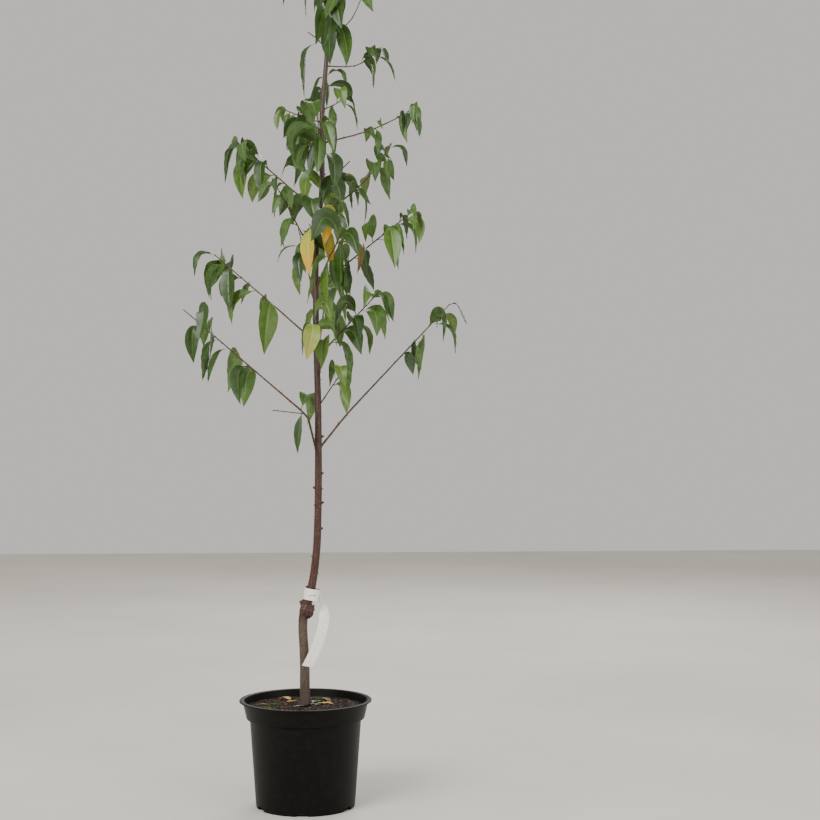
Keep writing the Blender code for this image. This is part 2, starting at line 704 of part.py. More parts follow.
def trunk_rings(extra=0.0):
    """Give the trunk's centres and radii, ring by ring, from the compost to the leader's foot."""
    low, high = TRUNK[0].height, TRUNK[-1].height
    count = math.ceil((high - low) / TRUNK_RING_SPACING)
    heights = [low + (high - low) * step / count for step in range(count + 1)]
    heights[1:1] = [low + rise for rise in FLARE_RINGS]
    spots = [trunk_at(height) for height in heights]
    return [spot[0] for spot in spots], [spot[1] / 2.0 + extra for spot in spots]


def clear_of_trunk(mesh):
    """Cut a limb's foot so that it meets the trunk a gap clear."""
    points, radii = trunk_rings(GAP)
    return joined(mesh, [tube_mesh("trunk", points, radii, TRUNK_SIDES)], "DIFFERENCE")


def graft_meshes():
    """Make the swelling of the graft and the sawn stub that leans out of it."""
    bm = bmesh.new()
    bmesh.ops.create_uvsphere(bm, u_segments=14, v_segments=8, radius=1.0)
    bmesh.ops.scale(bm, vec=GRAFT_HALF_SIZE, verts=bm.verts)
    bmesh.ops.translate(bm, vec=GRAFT_CENTRE, verts=bm.verts)
    swelling = mesh_from(bm, "graft")
    top = GRAFT_CENTRE + heading(180.0, 90.0 - STUB_LEAN) * STUB_LENGTH
    stub = tube_mesh("stub", [GRAFT_CENTRE, top], [STUB_RADIUS * STUB_TAPER, STUB_RADIUS], TRUNK_SIDES)
    return [swelling, stub]


def smooth_course(points, share):
    """Give the point and direction at a share of a smooth curve through a few points."""
    place = min(max(share, 0.0), 1.0) * (len(points) - 1)
    index = min(int(place), len(points) - 2)
    local = place - index
    before = points[max(index - 1, 0)]
    start, end = points[index], points[index + 1]
    after = points[min(index + 2, len(points) - 1)]
    leave, arrive = (end - before) / 2.0, (after - start) / 2.0
    square, cube = local * local, local ** 3
    point = (
        start * (2.0 * cube - 3.0 * square + 1.0) + leave * (cube - 2.0 * square + local)
        + end * (3.0 * square - 2.0 * cube) + arrive * (cube - square)
    )
    way = (
        (start - end) * (6.0 * square - 6.0 * local) + leave * (3.0 * square - 4.0 * local + 1.0)
        + arrive * (3.0 * square - 2.0 * local)
    )
    return point, way.normalized()


def thickened(mesh):
    """Give a sheet the label's thickness."""
    piece = add_object("sheet", mesh, bpy.context.scene.collection)
    solid = piece.modifiers.new("Thickness", "SOLIDIFY")
    solid.thickness = LABEL_THICKNESS
    solid.offset = 0.0
    return applied(piece)


def label_mesh():
    """Make the label: a band round the trunk with a bowed tail, as one thin strip."""
    bm = bmesh.new()
    ring = bmesh.ops.create_circle(bm, segments=LABEL_SIDES, radius=LABEL_RADIUS)
    edges = list({edge for vertex in ring["verts"] for edge in vertex.link_edges})
    drawn = bmesh.ops.extrude_edge_only(bm, edges=edges)["geom"]
    lifted = [item for item in drawn if isinstance(item, bmesh.types.BMVert)]
    bmesh.ops.translate(bm, vec=(0.0, 0.0, LABEL_BAND), verts=lifted)
    bmesh.ops.translate(bm, vec=(0.0, 0.0, -LABEL_BAND / 2.0), verts=bm.verts)
    lean = Matrix.Rotation(math.radians(LABEL_LEAN), 3, "Y")
    bmesh.ops.rotate(bm, cent=(0, 0, 0), matrix=lean, verts=bm.verts)
    bmesh.ops.translate(bm, vec=LABEL_CENTRE, verts=bm.verts)
    bmesh.ops.recalc_face_normals(bm, faces=bm.faces)
    band = thickened(mesh_from(bm, "band"))

    bm = bmesh.new()
    bmesh.ops.create_grid(bm, x_segments=LABEL_TAIL_ROWS, y_segments=1, size=1.0)
    for vertex in bm.verts:
        share = (vertex.co.x + 1.0) / 2.0
        point, way = smooth_course(LABEL_TAIL, share)
        level = way.cross(Vector((0.0, 1.0, 0.0))).normalized()
        twist = math.radians(90.0 * (1.0 - ease(share / LABEL_TWIST_SHARE)))
        side = Matrix.Rotation(twist, 3, way) @ level
        vertex.co = point + side * (vertex.co.y * LABEL_TAIL_WIDTH / 2.0)
    tail = thickened(mesh_from(bm, "tail"))
    return joined(band, [tail])


def mass_mesh(shoot, course, plant):
    """Join the outer wood of a shoot with its spurs and its leaves."""
    start = shoot.bough + GAP if shoot.bough or shoot is LEADER else 0.0
    stem = shoot_tube(shoot, course, start, shoot.length, TWIG_SIDES)
    if not start:
        stem = clear_of_trunk(stem)
    pieces = [leaf_mesh(leaf) for leaf in plant.leaves[shoot.name]]
    for ends in plant.spurs[shoot.name]:
        pieces.append(tube_mesh("spur", ends, [SPUR_FOOT / 2.0, TWIG_TIP / 2.0], TWIG_SIDES))
    return joined(stem, pieces)


def main():
    for old in list(bpy.data.objects):
        bpy.data.objects.remove(old)
    parts = bpy.data.collections.new("Potted almond tree")
    bpy.context.scene.collection.children.link(parts)
    finishes = {name: finish(name) for name in FINISHES}

    add_object("pot", pot_mesh(), parts, finishes["pot plastic"])
    add_object("compost", compost_mesh(), parts, finishes["compost"])
    points, radii = trunk_rings()
    trunk = joined(tube_mesh("trunk", points, radii, TRUNK_SIDES), graft_meshes())
    add_object("trunk", trunk, parts, finishes["bark"])
    add_object("label", label_mesh(), parts, finishes["label plastic"])

    plant, courses = grow_plant()
    for shoot in (*SHOOTS, LEADER):
        course = courses[shoot.name]
        if shoot.bough:
            wood = clear_of_trunk(shoot_tube(shoot, course, 0.0, shoot.bough, BOUGH_SIDES))
            add_object("bough_" + shoot.name, wood, parts, finishes["twig bark"])
        if shoot.bough < shoot.length:
            add_object("leaves_" + shoot.name, mass_mesh(shoot, course, plant), parts, finishes["leaf"])


if __name__ == "__main__":
    main()
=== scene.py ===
"""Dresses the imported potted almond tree: bark, buds, twigs, leaves, pot, compost and label.

The plant grows here again by the rule and the seeds of its solids, with finer twigs and leaves.
"""

import json
import math
import random
from collections import defaultdict, namedtuple

import bmesh
import bpy
from mathutils import Matrix, Vector, noise
from mathutils.bvhtree import BVHTree

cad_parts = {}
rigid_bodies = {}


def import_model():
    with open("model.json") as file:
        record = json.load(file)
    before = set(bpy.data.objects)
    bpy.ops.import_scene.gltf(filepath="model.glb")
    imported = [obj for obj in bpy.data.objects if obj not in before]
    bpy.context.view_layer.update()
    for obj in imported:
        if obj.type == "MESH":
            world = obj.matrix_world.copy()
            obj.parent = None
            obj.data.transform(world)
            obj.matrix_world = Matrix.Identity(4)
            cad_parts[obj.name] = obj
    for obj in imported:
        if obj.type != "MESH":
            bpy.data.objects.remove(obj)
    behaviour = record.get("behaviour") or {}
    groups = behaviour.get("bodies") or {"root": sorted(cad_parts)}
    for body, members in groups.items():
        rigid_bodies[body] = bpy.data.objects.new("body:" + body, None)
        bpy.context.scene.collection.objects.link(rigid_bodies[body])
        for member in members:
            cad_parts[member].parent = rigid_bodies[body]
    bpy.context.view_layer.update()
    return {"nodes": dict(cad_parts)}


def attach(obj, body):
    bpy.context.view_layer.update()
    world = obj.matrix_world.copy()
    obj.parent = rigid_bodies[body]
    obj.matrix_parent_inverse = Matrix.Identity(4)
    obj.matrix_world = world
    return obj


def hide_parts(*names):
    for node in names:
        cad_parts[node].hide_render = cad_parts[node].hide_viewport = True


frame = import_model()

bl_info = {
    "name": "Potted almond tree",
    "version": (1, 0, 0),
    "blender": (4, 5, 0),
    "location": "View3D > Sidebar > Almond tree",
    "description": "Builds the visual model of a young almond tree in a nursery pot",
    "category": "Object",
}

BODY = "root"
MM = 0.001

GAP = 0.0003  # clearance where pieces meet
UP = Vector((0.0, 0.0, 1.0))
DOWN = Vector((0.0, 0.0, -1.0))

# Pot: radii of the outside, with one wall thickness all round
POT_HEIGHT = 0.225
POT_FOOT_RADIUS = 0.1045
POT_BODY_RADIUS = 0.1175
POT_COLLAR_RADIUS = 0.1250
POT_NECK_RADIUS = 0.1325
POT_RIM_RADIUS = 0.1400
POT_COLLAR_HEIGHT = 0.038
POT_STEP = 0.004
POT_LIP = 0.0025
POT_WALL = 0.0025
POT_FLOOR = 0.003
POT_EDGE = 0.002
NOTCH_COUNT = 6
NOTCH_FIRST = -94.0
NOTCH_WIDTH = 0.026
NOTCH_HEIGHT = 0.008
NOTCH_DEPTH = 0.006

# Compost, filled to a little under the rim
COMPOST_TOP = 0.2125
COMPOST_CROWN = 0.0015

# Trunk: height, offset along X, offset along Y and diameter, from the compost to the leader's foot
TrunkStation = namedtuple("TrunkStation", "height x y diameter")
TRUNK = (
    TrunkStation(COMPOST_TOP + GAP, -0.0010, 0.0000, 0.0250),
    TrunkStation(0.2340, -0.0015, 0.0000, 0.0220),
    TrunkStation(0.3080, -0.0022, 0.0010, 0.0205),
    TrunkStation(0.3900, -0.0056, 0.0020, 0.0192),
    TrunkStation(0.4246, 0.0021, 0.0015, 0.0215),
    TrunkStation(0.4585, 0.0118, 0.0005, 0.0178),
    TrunkStation(0.5156, 0.0207, 0.0000, 0.0168),
    TrunkStation(0.5855, 0.0254, -0.0010, 0.0160),
    TrunkStation(0.7253, 0.0271, -0.0020, 0.0153),
    TrunkStation(0.8659, 0.0261, 0.0000, 0.0138),
    TrunkStation(0.9948, 0.0225, 0.0020, 0.0128),
    TrunkStation(1.1973, 0.0232, 0.0040, 0.0120),
    TrunkStation(1.3052, 0.0345, 0.0030, 0.0113),
    TrunkStation(1.4646, 0.0351, 0.0000, 0.0104),
    TrunkStation(1.5915, 0.0449, -0.0020, 0.0094),
    TrunkStation(1.7200, 0.0450, 0.0000, 0.0078),
    TrunkStation(1.8600, 0.0500, 0.0020, 0.0058),
)

# Graft: the swelling where the variety joins its rootstock, with the sawn stub beside it
GRAFT_CENTRE = Vector((0.0023, 0.0010, 0.4140))
GRAFT_HALF_SIZE = Vector((0.0163, 0.0150, 0.0200))
STUB_LEAN = 26.0
STUB_LENGTH = 0.0235
STUB_RADIUS = 0.0065
STUB_TAPER = 1.25

# Label: a closed loop round the trunk and a tail that bows away from it
LABEL_RADIUS = 0.0175
LABEL_BAND = 0.024
LABEL_THICKNESS = 0.0008
LABEL_CENTRE = Vector((0.0140, 0.0005, 0.4475))
LABEL_LEAN = 9.0
LABEL_TAIL_WIDTH = 0.0215
LABEL_TWIST_SHARE = 0.35
LABEL_TAIL = (
    Vector((0.0300, -0.0040, 0.4440)),
    Vector((0.0380, -0.0095, 0.4180)),
    Vector((0.0391, -0.0140, 0.3956)),
    Vector((0.0338, -0.0180, 0.3700)),
    Vector((0.0264, -0.0210, 0.3475)),
    Vector((0.0155, -0.0232, 0.3215)),
    Vector((0.0035, -0.0245, 0.2982)),
)

# Twigs
TWIG_STEP = 0.024
TWIG_TIP = 0.0020
SPUR_FOOT = 0.0024
NODE_SPACING = 0.024
ZIGZAG = 3.0

# Spaces that leaves keep out of: the trunk's, square in section and out to a share of its
# diameter, and each shoot's, taken at this many places along it
TRUNK_REACH = 0.71
TRUNK_PLACES = 82
SHOOT_PLACES = 16

# Leaves: shares of the leaf's length and of its width
LEAF_ROOT_RADIUS = 0.0009
LEAF_THICKNESS = 0.014
LEAF_WIDTH = 0.34
LEAF_RINGS = ((0.12, 0.0), (0.42, 1.0), (0.74, 0.70))
LEAF_STEPS = 20
LEAF_CLEARANCE = 0.0006
LEAF_TRIES = 5
TURN_BETWEEN_TRIES = 50.0
TURN_BETWEEN_LEAVES = 137.5
SPUR_BARE_SHARE = 0.3

# A spray is a few leaves on a stretch of shoot, or on a spur that leaves the shoot at its start
Spray = namedtuple("Spray", "start end leaves leaf_length spur seed")
Shoot = namedtuple(
    "Shoot", "name height azimuth sweep rise tip_rise turn_at turn_over length foot bough sprays"
)
Leaf = namedtuple("Leaf", "course directions normals length width fold")
SHOOTS = (
    Shoot("left_low", 0.732, 193, 0, 76, 40, 0.088, 0.020, 0.435, 0.0050, 0.098, (
        Spray(0.104, 0.104, 0, 0.000, 0.065, 1),
        Spray(0.104, 0.116, 2, 0.118, 0.000, 1160),
        Spray(0.225, 0.320, 4, 0.112, 0.000, 595),
        Spray(0.330, 0.415, 5, 0.108, 0.000, 485),
    )),
    Shoot("left_middle", 0.979, 166, 0, 41, 40, 0.100, 0.050, 0.292, 0.0042, 0.090, (
        Spray(0.110, 0.180, 3, 0.125, 0.000, 1455),
        Spray(0.185, 0.220, 2, 0.070, 0.000, 1266),
        Spray(0.235, 0.292, 6, 0.108, 0.000, 35),
    )),
    Shoot("left_upper", 1.151, 208, 0, 60, 58, 0.050, 0.050, 0.197, 0.0034, 0.050, (
        Spray(0.060, 0.110, 3, 0.090, 0.000, 662),
        Spray(0.150, 0.197, 4, 0.055, 0.000, 1303),
    )),
    Shoot("left_high", 1.257, 170, 0, 39, 41, 0.050, 0.050, 0.234, 0.0040, 0.060, (
        Spray(0.070, 0.150, 5, 0.095, 0.000, 382),
        Spray(0.155, 0.200, 4, 0.120, 0.000, 1243),
        Spray(0.205, 0.234, 4, 0.095, 0.000, 313),
    )),
    Shoot("left_top", 1.445, 156, 0, 20, 24, 0.050, 0.050, 0.100, 0.0030, 0.000, (
        Spray(0.035, 0.070, 4, 0.055, 0.000, 379),
        Spray(0.075, 0.100, 4, 0.045, 0.000, 535),
    )),
    Shoot("left_leader", 1.600, 190, 0, 45, 30, 0.020, 0.030, 0.050, 0.0026, 0.000, (
        Spray(0.012, 0.040, 2, 0.135, 0.000, 1538),
    )),
    Shoot("right_low", 0.753, 27, 0, 48, 43, 0.050, 0.100, 0.455, 0.0049, 0.270, (
        Spray(0.285, 0.345, 3, 0.060, 0.000, 475),
        Spray(0.355, 0.400, 3, 0.112, 0.000, 344),
        Spray(0.420, 0.455, 3, 0.075, 0.000, 1799),
    )),
    Shoot("right_lower", 0.844, -42, 0, 48, 50, 0.050, 0.050, 0.110, 0.0032, 0.040, (
        Spray(0.055, 0.110, 5, 0.085, 0.000, 271),
    )),
    Shoot("right_middle", 0.893, -13, 0, 80, 46, 0.054, 0.030, 0.240, 0.0042, 0.055, (
        Spray(0.070, 0.130, 4, 0.100, 0.000, 854),
        Spray(0.140, 0.190, 4, 0.100, 0.000, 988),
        Spray(0.200, 0.240, 4, 0.100, 0.000, 1608),
    )),
    Shoot("right_upper", 1.062, -20, 0, 56, 36, 0.050, 0.060, 0.284, 0.0042, 0.080, (
        Spray(0.095, 0.160, 5, 0.080, 0.000, 668),
        Spray(0.175, 0.225, 4, 0.110, 0.000, 850),
        Spray(0.235, 0.284, 6, 0.090, 0.000, 1373),
    )),
    Shoot("right_bare", 1.308, -50, 0, 28, 28, 0.050, 0.050, 0.098, 0.0032, 0.098, ()),
    Shoot("right_high", 1.242, 25, 0, 37, 54, 0.080, 0.120, 0.246, 0.0042, 0.055, (
        Spray(0.070, 0.130, 4, 0.080, 0.000, 1245),
        Spray(0.140, 0.195, 4, 0.100, 0.000, 81),
        Spray(0.200, 0.246, 5, 0.070, 0.000, 1234),
    )),
    Shoot("right_top", 1.402, -15, 0, 12, 30, 0.040, 0.180, 0.216, 0.0038, 0.080, (
        Spray(0.090, 0.140, 4, 0.060, 0.000, 1629),
        Spray(0.165, 0.216, 7, 0.070, 0.000, 910),
    )),
    Shoot("right_spur", 1.472, 36, 0, 24, 34, 0.020, 0.030, 0.062, 0.0026, 0.000, (
        Spray(0.030, 0.062, 4, 0.080, 0.000, 1160),
    )),
    Shoot("right_leader", 1.565, 19, 0, 2, 44, 0.030, 0.090, 0.136, 0.0028, 0.040, (
        Spray(0.080, 0.136, 7, 0.070, 0.000, 691),
    )),
    Shoot("right_tip_bare", 1.620, -22, 0, 32, 66, 0.030, 0.070, 0.116, 0.0025, 0.116, ()),
    Shoot("front_low", 0.985, -100, 0, 50, 40, 0.020, 0.030, 0.060, 0.0028, 0.000, (
        Spray(0.020, 0.060, 4, 0.100, 0.000, 554),
    )),
    Shoot("front_yellow", 1.195, -115, 0, 45, 35, 0.020, 0.030, 0.045, 0.0026, 0.000, (
        Spray(0.022, 0.045, 3, 0.130, 0.000, 1185),
    )),
    Shoot("front_middle", 1.090, -62, 0, 50, 40, 0.050, 0.050, 0.165, 0.0036, 0.050, (
        Spray(0.060, 0.110, 4, 0.120, 0.000, 1129),
        Spray(0.115, 0.165, 5, 0.120, 0.000, 734),
    )),
    Shoot("front_upper", 1.225, -82, 0, 45, 40, 0.050, 0.050, 0.095, 0.0030, 0.000, (
        Spray(0.030, 0.095, 5, 0.120, 0.000, 1293),
    )),
    Shoot("front_high", 1.320, -95, 0, 50, 40, 0.050, 0.050, 0.165, 0.0036, 0.050, (
        Spray(0.055, 0.110, 4, 0.110, 0.000, 165),
        Spray(0.115, 0.165, 5, 0.115, 0.000, 1681),
    )),
    Shoot("front_top", 1.405, -128, 0, 35, 35, 0.050, 0.050, 0.090, 0.0028, 0.000, (
        Spray(0.030, 0.090, 5, 0.080, 0.000, 270),
    )),
    Shoot("front_leader", 1.600, -70, 0, 60, 50, 0.050, 0.050, 0.120, 0.0030, 0.000, (
        Spray(0.030, 0.075, 4, 0.120, 0.000, 1481),
        Spray(0.080, 0.120, 4, 0.110, 0.000, 899),
    )),
    Shoot("back_low", 0.930, 82, 0, 50, 44, 0.050, 0.100, 0.300, 0.0044, 0.120, (
        Spray(0.140, 0.210, 4, 0.100, 0.000, 284),
        Spray(0.225, 0.300, 5, 0.095, 0.000, 69),
    )),
    Shoot("back_middle", 1.050, 101, 0, 48, 42, 0.050, 0.100, 0.270, 0.0042, 0.090, (
        Spray(0.105, 0.180, 4, 0.100, 0.000, 19),
        Spray(0.195, 0.270, 5, 0.095, 0.000, 381),
    )),
    Shoot("back_upper", 1.190, 72, 0, 46, 42, 0.050, 0.100, 0.245, 0.0040, 0.070, (
        Spray(0.085, 0.160, 4, 0.095, 0.000, 272),
        Spray(0.175, 0.245, 6, 0.090, 0.000, 437),
    )),
    Shoot("back_high", 1.345, 108, 0, 46, 42, 0.050, 0.100, 0.200, 0.0036, 0.050, (
        Spray(0.065, 0.130, 4, 0.090, 0.000, 242),
        Spray(0.140, 0.200, 5, 0.085, 0.000, 213),
    )),
    Shoot("back_top", 1.480, 84, 0, 42, 40, 0.050, 0.050, 0.140, 0.0030, 0.000, (
        Spray(0.040, 0.090, 4, 0.080, 0.000, 138),
        Spray(0.095, 0.140, 4, 0.075, 0.000, 154),
    )),
    Shoot("crown_back", 1.655, 70, 0, 50, 50, 0.050, 0.050, 0.130, 0.0028, 0.000, (
        Spray(0.040, 0.085, 4, 0.085, 0.000, 293),
        Spray(0.090, 0.130, 4, 0.080, 0.000, 324),
    )),
    Shoot("crown_left", 1.695, 165, 0, 48, 52, 0.050, 0.050, 0.130, 0.0028, 0.000, (
        Spray(0.040, 0.085, 4, 0.085, 0.000, 160),
        Spray(0.090, 0.130, 4, 0.080, 0.000, 449),
    )),
    Shoot("crown_right", 1.755, 12, 0, 52, 55, 0.050, 0.050, 0.105, 0.0026, 0.000, (
        Spray(0.035, 0.070, 3, 0.085, 0.000, 107),
        Spray(0.075, 0.105, 4, 0.075, 0.000, 450),
    )),
    Shoot("crown_front", 1.800, -95, 0, 54, 58, 0.050, 0.050, 0.090, 0.0024, 0.000, (
        Spray(0.030, 0.090, 5, 0.080, 0.000, 450),
    )),
)
LEADER = Shoot("leader", 1.860, 60, 0, 86, 84, 0.050, 0.050, 0.110, 0.0056, 0.000, (
    Spray(0.010, 0.060, 5, 0.095, 0.000, 450),
    Spray(0.062, 0.110, 5, 0.075, 0.000, 450),
))

# Pot's outline, from the middle of the floor up the inside, over the rim and down to the foot, with
# the small bevels and rounds of the moulding
COLLAR_FOOT = POT_HEIGHT - POT_COLLAR_HEIGHT
LIP_FOOT = POT_HEIGHT - POT_LIP
POT_PROFILE = (
    (0.0, POT_FLOOR),
    (POT_FOOT_RADIUS - POT_WALL - POT_EDGE, POT_FLOOR),
    (POT_FOOT_RADIUS - POT_WALL, POT_FLOOR + POT_EDGE),
    (POT_BODY_RADIUS - POT_WALL, COLLAR_FOOT - POT_STEP),
    (POT_COLLAR_RADIUS - POT_WALL, COLLAR_FOOT),
    (POT_NECK_RADIUS - POT_WALL, POT_HEIGHT - 0.0006),
    (POT_NECK_RADIUS - POT_WALL + 0.0010, POT_HEIGHT),
    (POT_RIM_RADIUS - 0.0009, POT_HEIGHT),
    (POT_RIM_RADIUS, POT_HEIGHT - 0.0008),
    (POT_RIM_RADIUS, LIP_FOOT),
    (POT_RIM_RADIUS - 0.0010, LIP_FOOT - 0.0006),
    (POT_NECK_RADIUS + 0.0010, LIP_FOOT - POT_EDGE),
    (POT_NECK_RADIUS - 0.0004, LIP_FOOT - 2.0 * POT_EDGE),
    (POT_COLLAR_RADIUS + 0.0004, COLLAR_FOOT + 0.0020),
    (POT_COLLAR_RADIUS - 0.0003, COLLAR_FOOT),
    (POT_BODY_RADIUS + 0.0012, COLLAR_FOOT - 0.7 * POT_STEP),
    (POT_BODY_RADIUS, COLLAR_FOOT - 1.4 * POT_STEP),
    (POT_FOOT_RADIUS + 0.0004, 2.0 * POT_EDGE),
    (POT_FOOT_RADIUS - 0.0002, POT_EDGE * 0.6),
    (POT_FOOT_RADIUS - POT_EDGE, 0.0),
    (0.0, 0.0),
)
MOULDED_FOLD = math.radians(35.0)  # faces of a moulding that meet at more keep their edge sharp
COLLAR_DOT_HEIGHT = 0.205
COLLAR_DOT_SIZE = (0.0011, 0.0011, 0.0007)
COLLAR_DOT_FIRST = 4.0
COLLAR_DOT_TURN = 15
COLLAR_DOT_SINK = 0.0002
COLLAR_DOT_PLAY = 0.0004

# Compost: the rings and steps of its top, its lumps and grit, and what is strewn on it
SOIL_RINGS = 62
SOIL_STEPS = 180
SOIL_BLANK_TOP = COMPOST_TOP - 0.003
LUMP_SCALE = 38.0
LUMP_HEIGHT = 0.0016
GRIT_SCALE = 210.0
GRIT_HEIGHT = 0.0011
SOIL_EDGE_START = 0.095
SOIL_EDGE_WIDTH = 0.03
SOIL_EDGE_DROP = 0.002
CRUMB_REACH = 0.123
STEM_ROOM = 0.016
CHIP_SHARE = 0.07
MOSS_REACH = 0.120
# Moss: the patch's place, its spread and its count of tufts
MOSS = (
    ((-0.082, -0.030), 0.010, 150), ((-0.070, 0.020), 0.007, 60), ((0.060, -0.062), 0.006, 50),
    ((0.030, 0.085), 0.010, 90),
)

# Wood: sides of its tubes, the graft's lobe, and the trunk's knobs with height, turn and length
TRUNK_SIDES = 28
STUB_SIDES = 24
LOBE_SIDES = 16
BOUGH_SIDES = 12
TWIG_SIDES = 10
STUB_STEPS = 12
LOBE_STEPS = 10
SPUR_STEPS = 8
GRAFT_LOBE = ((0.0080, 0.0, 0.4120), (0.0150, -0.0010, 0.4190), (0.0180, -0.0015, 0.4245))
TRUNK_KNOBS = (
    (0.462, 175.0, 0.006), (0.585, 20.0, 0.006), (0.640, 5.0, 0.007), (0.672, 190.0, 0.006),
    (0.702, 20.0, 0.006), (0.780, 10.0, 0.007),
)
KNOB_RADII = (0.0030, 0.0029, 0.0027, 0.0025, 0.0022)
BUD_WIDTH = 0.21
LOWEST_TRUNK_BUD = 0.49
COLLAR_RUN = 0.018  # how far a shoot's swollen foot reaches along it

# Label: the size of the thin dark box painted as the shadow in its slot, and the slant of its
# tail's end
LABEL_SLOT_SHADOW = (0.017, 0.0006, 0.0007)
LABEL_END_SLANT = 0.0035

# Leaves: shares of the leaf's length, apart from the film's thickness and the fold
PETIOLE_SHARE = 0.12
OPENING_SHARE = 0.15
LEAF_FILM = 0.0005
LEAF_RIPPLE = 0.008
RIPPLE_RATE = 34.0
RIPPLE_SLANT = 1.6
RIPPLE_PHASES = 6.28
TIP_HALF_WIDTH = 0.0002
BEND_SPAN = 0.04
BEND_ROOM = 0.7  # share of the bend's radius that a blade may take up inside it
BLADE_SKEW = 0.76
BLADE_TAPER = 1.05
EDGE_UNROLL = 0.25
SHARP_FOLD = math.radians(50.0)

# Leaf tints: name, blade, darker blade, underside, vein, and the colour it turns to at its tip
TINTS = (
    ("Green almond", "#3f5f18", "#304c10", "#628045", "#728a42", None),
    ("Dark almond", "#2c480c", "#213908", "#547239", "#5e7834", None),
    ("Light almond", "#526f1e", "#426016", "#728d4e", "#849850", None),
    ("Yellow green almond", "#7f8f2e", "#69801f", "#94a35c", "#b0b468", "#8f8a34"),
    ("Yellow almond", "#a8a63c", "#8c9a30", "#b0a85c", "#d0c672", "#d49a22"),
    ("Brown almond", "#6d6a2c", "#586020", "#86804c", "#9a9456", "#6e4a24"),
)
PALE_TINT, YELLOW_TINT = 3, 4
PALE_SHOOTS = ("front_low",)
YELLOW_SHOOTS = ("front_yellow",)
PALE_SHARE = 0.35
TINT_LIMITS = ((0, 0.42), (1, 0.84), (2, 0.992), (5, 1.0))
VEIN_PAIRS = 13.0
VEIN_SLANT = 0.32
VEIN_STRENGTH = 0.55

# Fallen leaves: their tints, and each one's place, turn, length, width, tint and seed
LITTER_TINTS = (
    ("Yellow fallen", "#c9ad3c", "#a88a2c", "#c4b070", "#ded08a", "#b47a2a"),
    ("Grey green fallen", "#9aa088", "#7d8a68", "#a8ac98", "#c4c8b0", None),
    ("Brown fallen", "#7a5230", "#573820", "#8a6a48", "#a08058", None),
)
LITTER = (
    (-0.030, 0.040, 20.0, 0.022, 0.009, 0, 1),
    (-0.092, 0.004, -12.0, 0.026, 0.010, 2, 2),
    (0.002, -0.012, 25.0, 0.060, 0.012, 1, 3),
    (0.024, 0.030, 60.0, 0.036, 0.011, 1, 4),
    (0.042, 0.010, -30.0, 0.040, 0.014, 0, 5),
    (0.050, 0.062, 110.0, 0.050, 0.015, 2, 6),
    (-0.045, 0.072, -60.0, 0.045, 0.014, 0, 7),
)
LITTER_BOW = 0.14
LITTER_LIFT = 0.0030
LITTER_TILT = 0.15
LITTER_FOLD = 14.0
LITTER_STATIONS = 16
LITTER_COLUMNS = 6

# Finishes with a grain: tones from dark to pale, the grain's size and depth in millimetres, and
# the roughness
Grain = namedtuple("Grain", "name tones size depth roughness")
# Blown polypropylene: black and satin, greyed a little by dust and dried splashes
POT_PLASTIC = Grain("Black polypropylene", ("#040403", "#080706", "#100f0c"), 14.0, 0.05, 0.46)
# Damp and open, so that only its crumbs take the light
PEAT = Grain("Moist peat compost", ("#0d0805", "#20130b", "#3a2416"), 3.0, 0.9, 0.88)
BARK_CHIPS = Grain("Bark chips", ("#3d241a", "#643f31", "#96705c"), 2.0, 0.4, 0.80)
MOSS_TUFTS = Grain("Moss", ("#1f2c0b", "#3a4f14", "#5f7724"), 1.2, 0.5, 0.85)
# Dry, ribbed scales, which show as dark points along the wood
TRUNK_SCALES = Grain("Bud scales", ("#2e160d", "#4c2718", "#6f4428"), 2.0, 0.2, 0.5)
TWIG_SCALES = Grain("Twig bud scales", ("#2a150c", "#4a2a1a", "#6d4a2c"), 2.0, 0.15, 0.5)
# Young wood: smooth and half glossy, streaked along the twig
TWIG_BARK = Grain("Almond twig bark", ("#2c190d", "#4a2f1a", "#6a5129"), 3.0, 0.12, 0.42)
# Thin white film, nearly smooth, with a faint sheen
LABEL_FILM = Grain("Label polyethylene", ("#e6dfd4", "#f2ede4", "#faf7f1"), 9.0, 0.04, 0.42)
SLOT_SHADOW = Grain("Slot shadow", ("#1c1814", "#2a241e", "#3a322a"), 3.0, 0.02, 0.8)
# Painted floor, with clouds far coarser than its grit, because the grit wouldn't show
STUDIO_FLOOR = Grain("Pale studio floor", ("#cdc8bd", "#d4cfc5", "#dbd6cd"), 900.0, 0.01, 0.75)
GRAINED_IOR = 1.46
POT_SPECULAR = 0.16
TWIG_STREAKS = (1.0, 1.0, 0.4)

# Bark up the trunk: share of the height, dark tone and pale tone, turning red above the graft
BARK_TONES = (
    (0.0, "#33291f", "#584b40"), (0.106, "#392b20", "#5c4c3e"), (0.116, "#260f0c", "#43201a"),
    (0.134, "#2c120d", "#4b241a"), (0.20, "#2c150d", "#4f2a1c"), (0.42, "#2a180f", "#46291a"),
    (1.0, "#2c1f12", "#463620"),
)
BARK_GRAIN = 3.0
BARK_STREAKS = (1.0, 1.0, 0.16)
LENTICEL_SPACING = 7.0  # in millimetres, a little coarser than real, so that they show
LENTICEL_FLATNESS = (1.0, 1.0, 1.9)
LENTICEL_TONE = "#b08f6a"
LEAF_MOTTLE = 16.0

# Seeds of what is strewn
COLLAR_DOT_SEED = 11
COMPOST_SEED = 23
TRUNK_BUD_SEED = 5
TINT_SEED = 77
TWIG_BUD_SEED = 41

# Mix node's sockets for colours
COLOUR_A, COLOUR_B, MIXED = 6, 7, 2

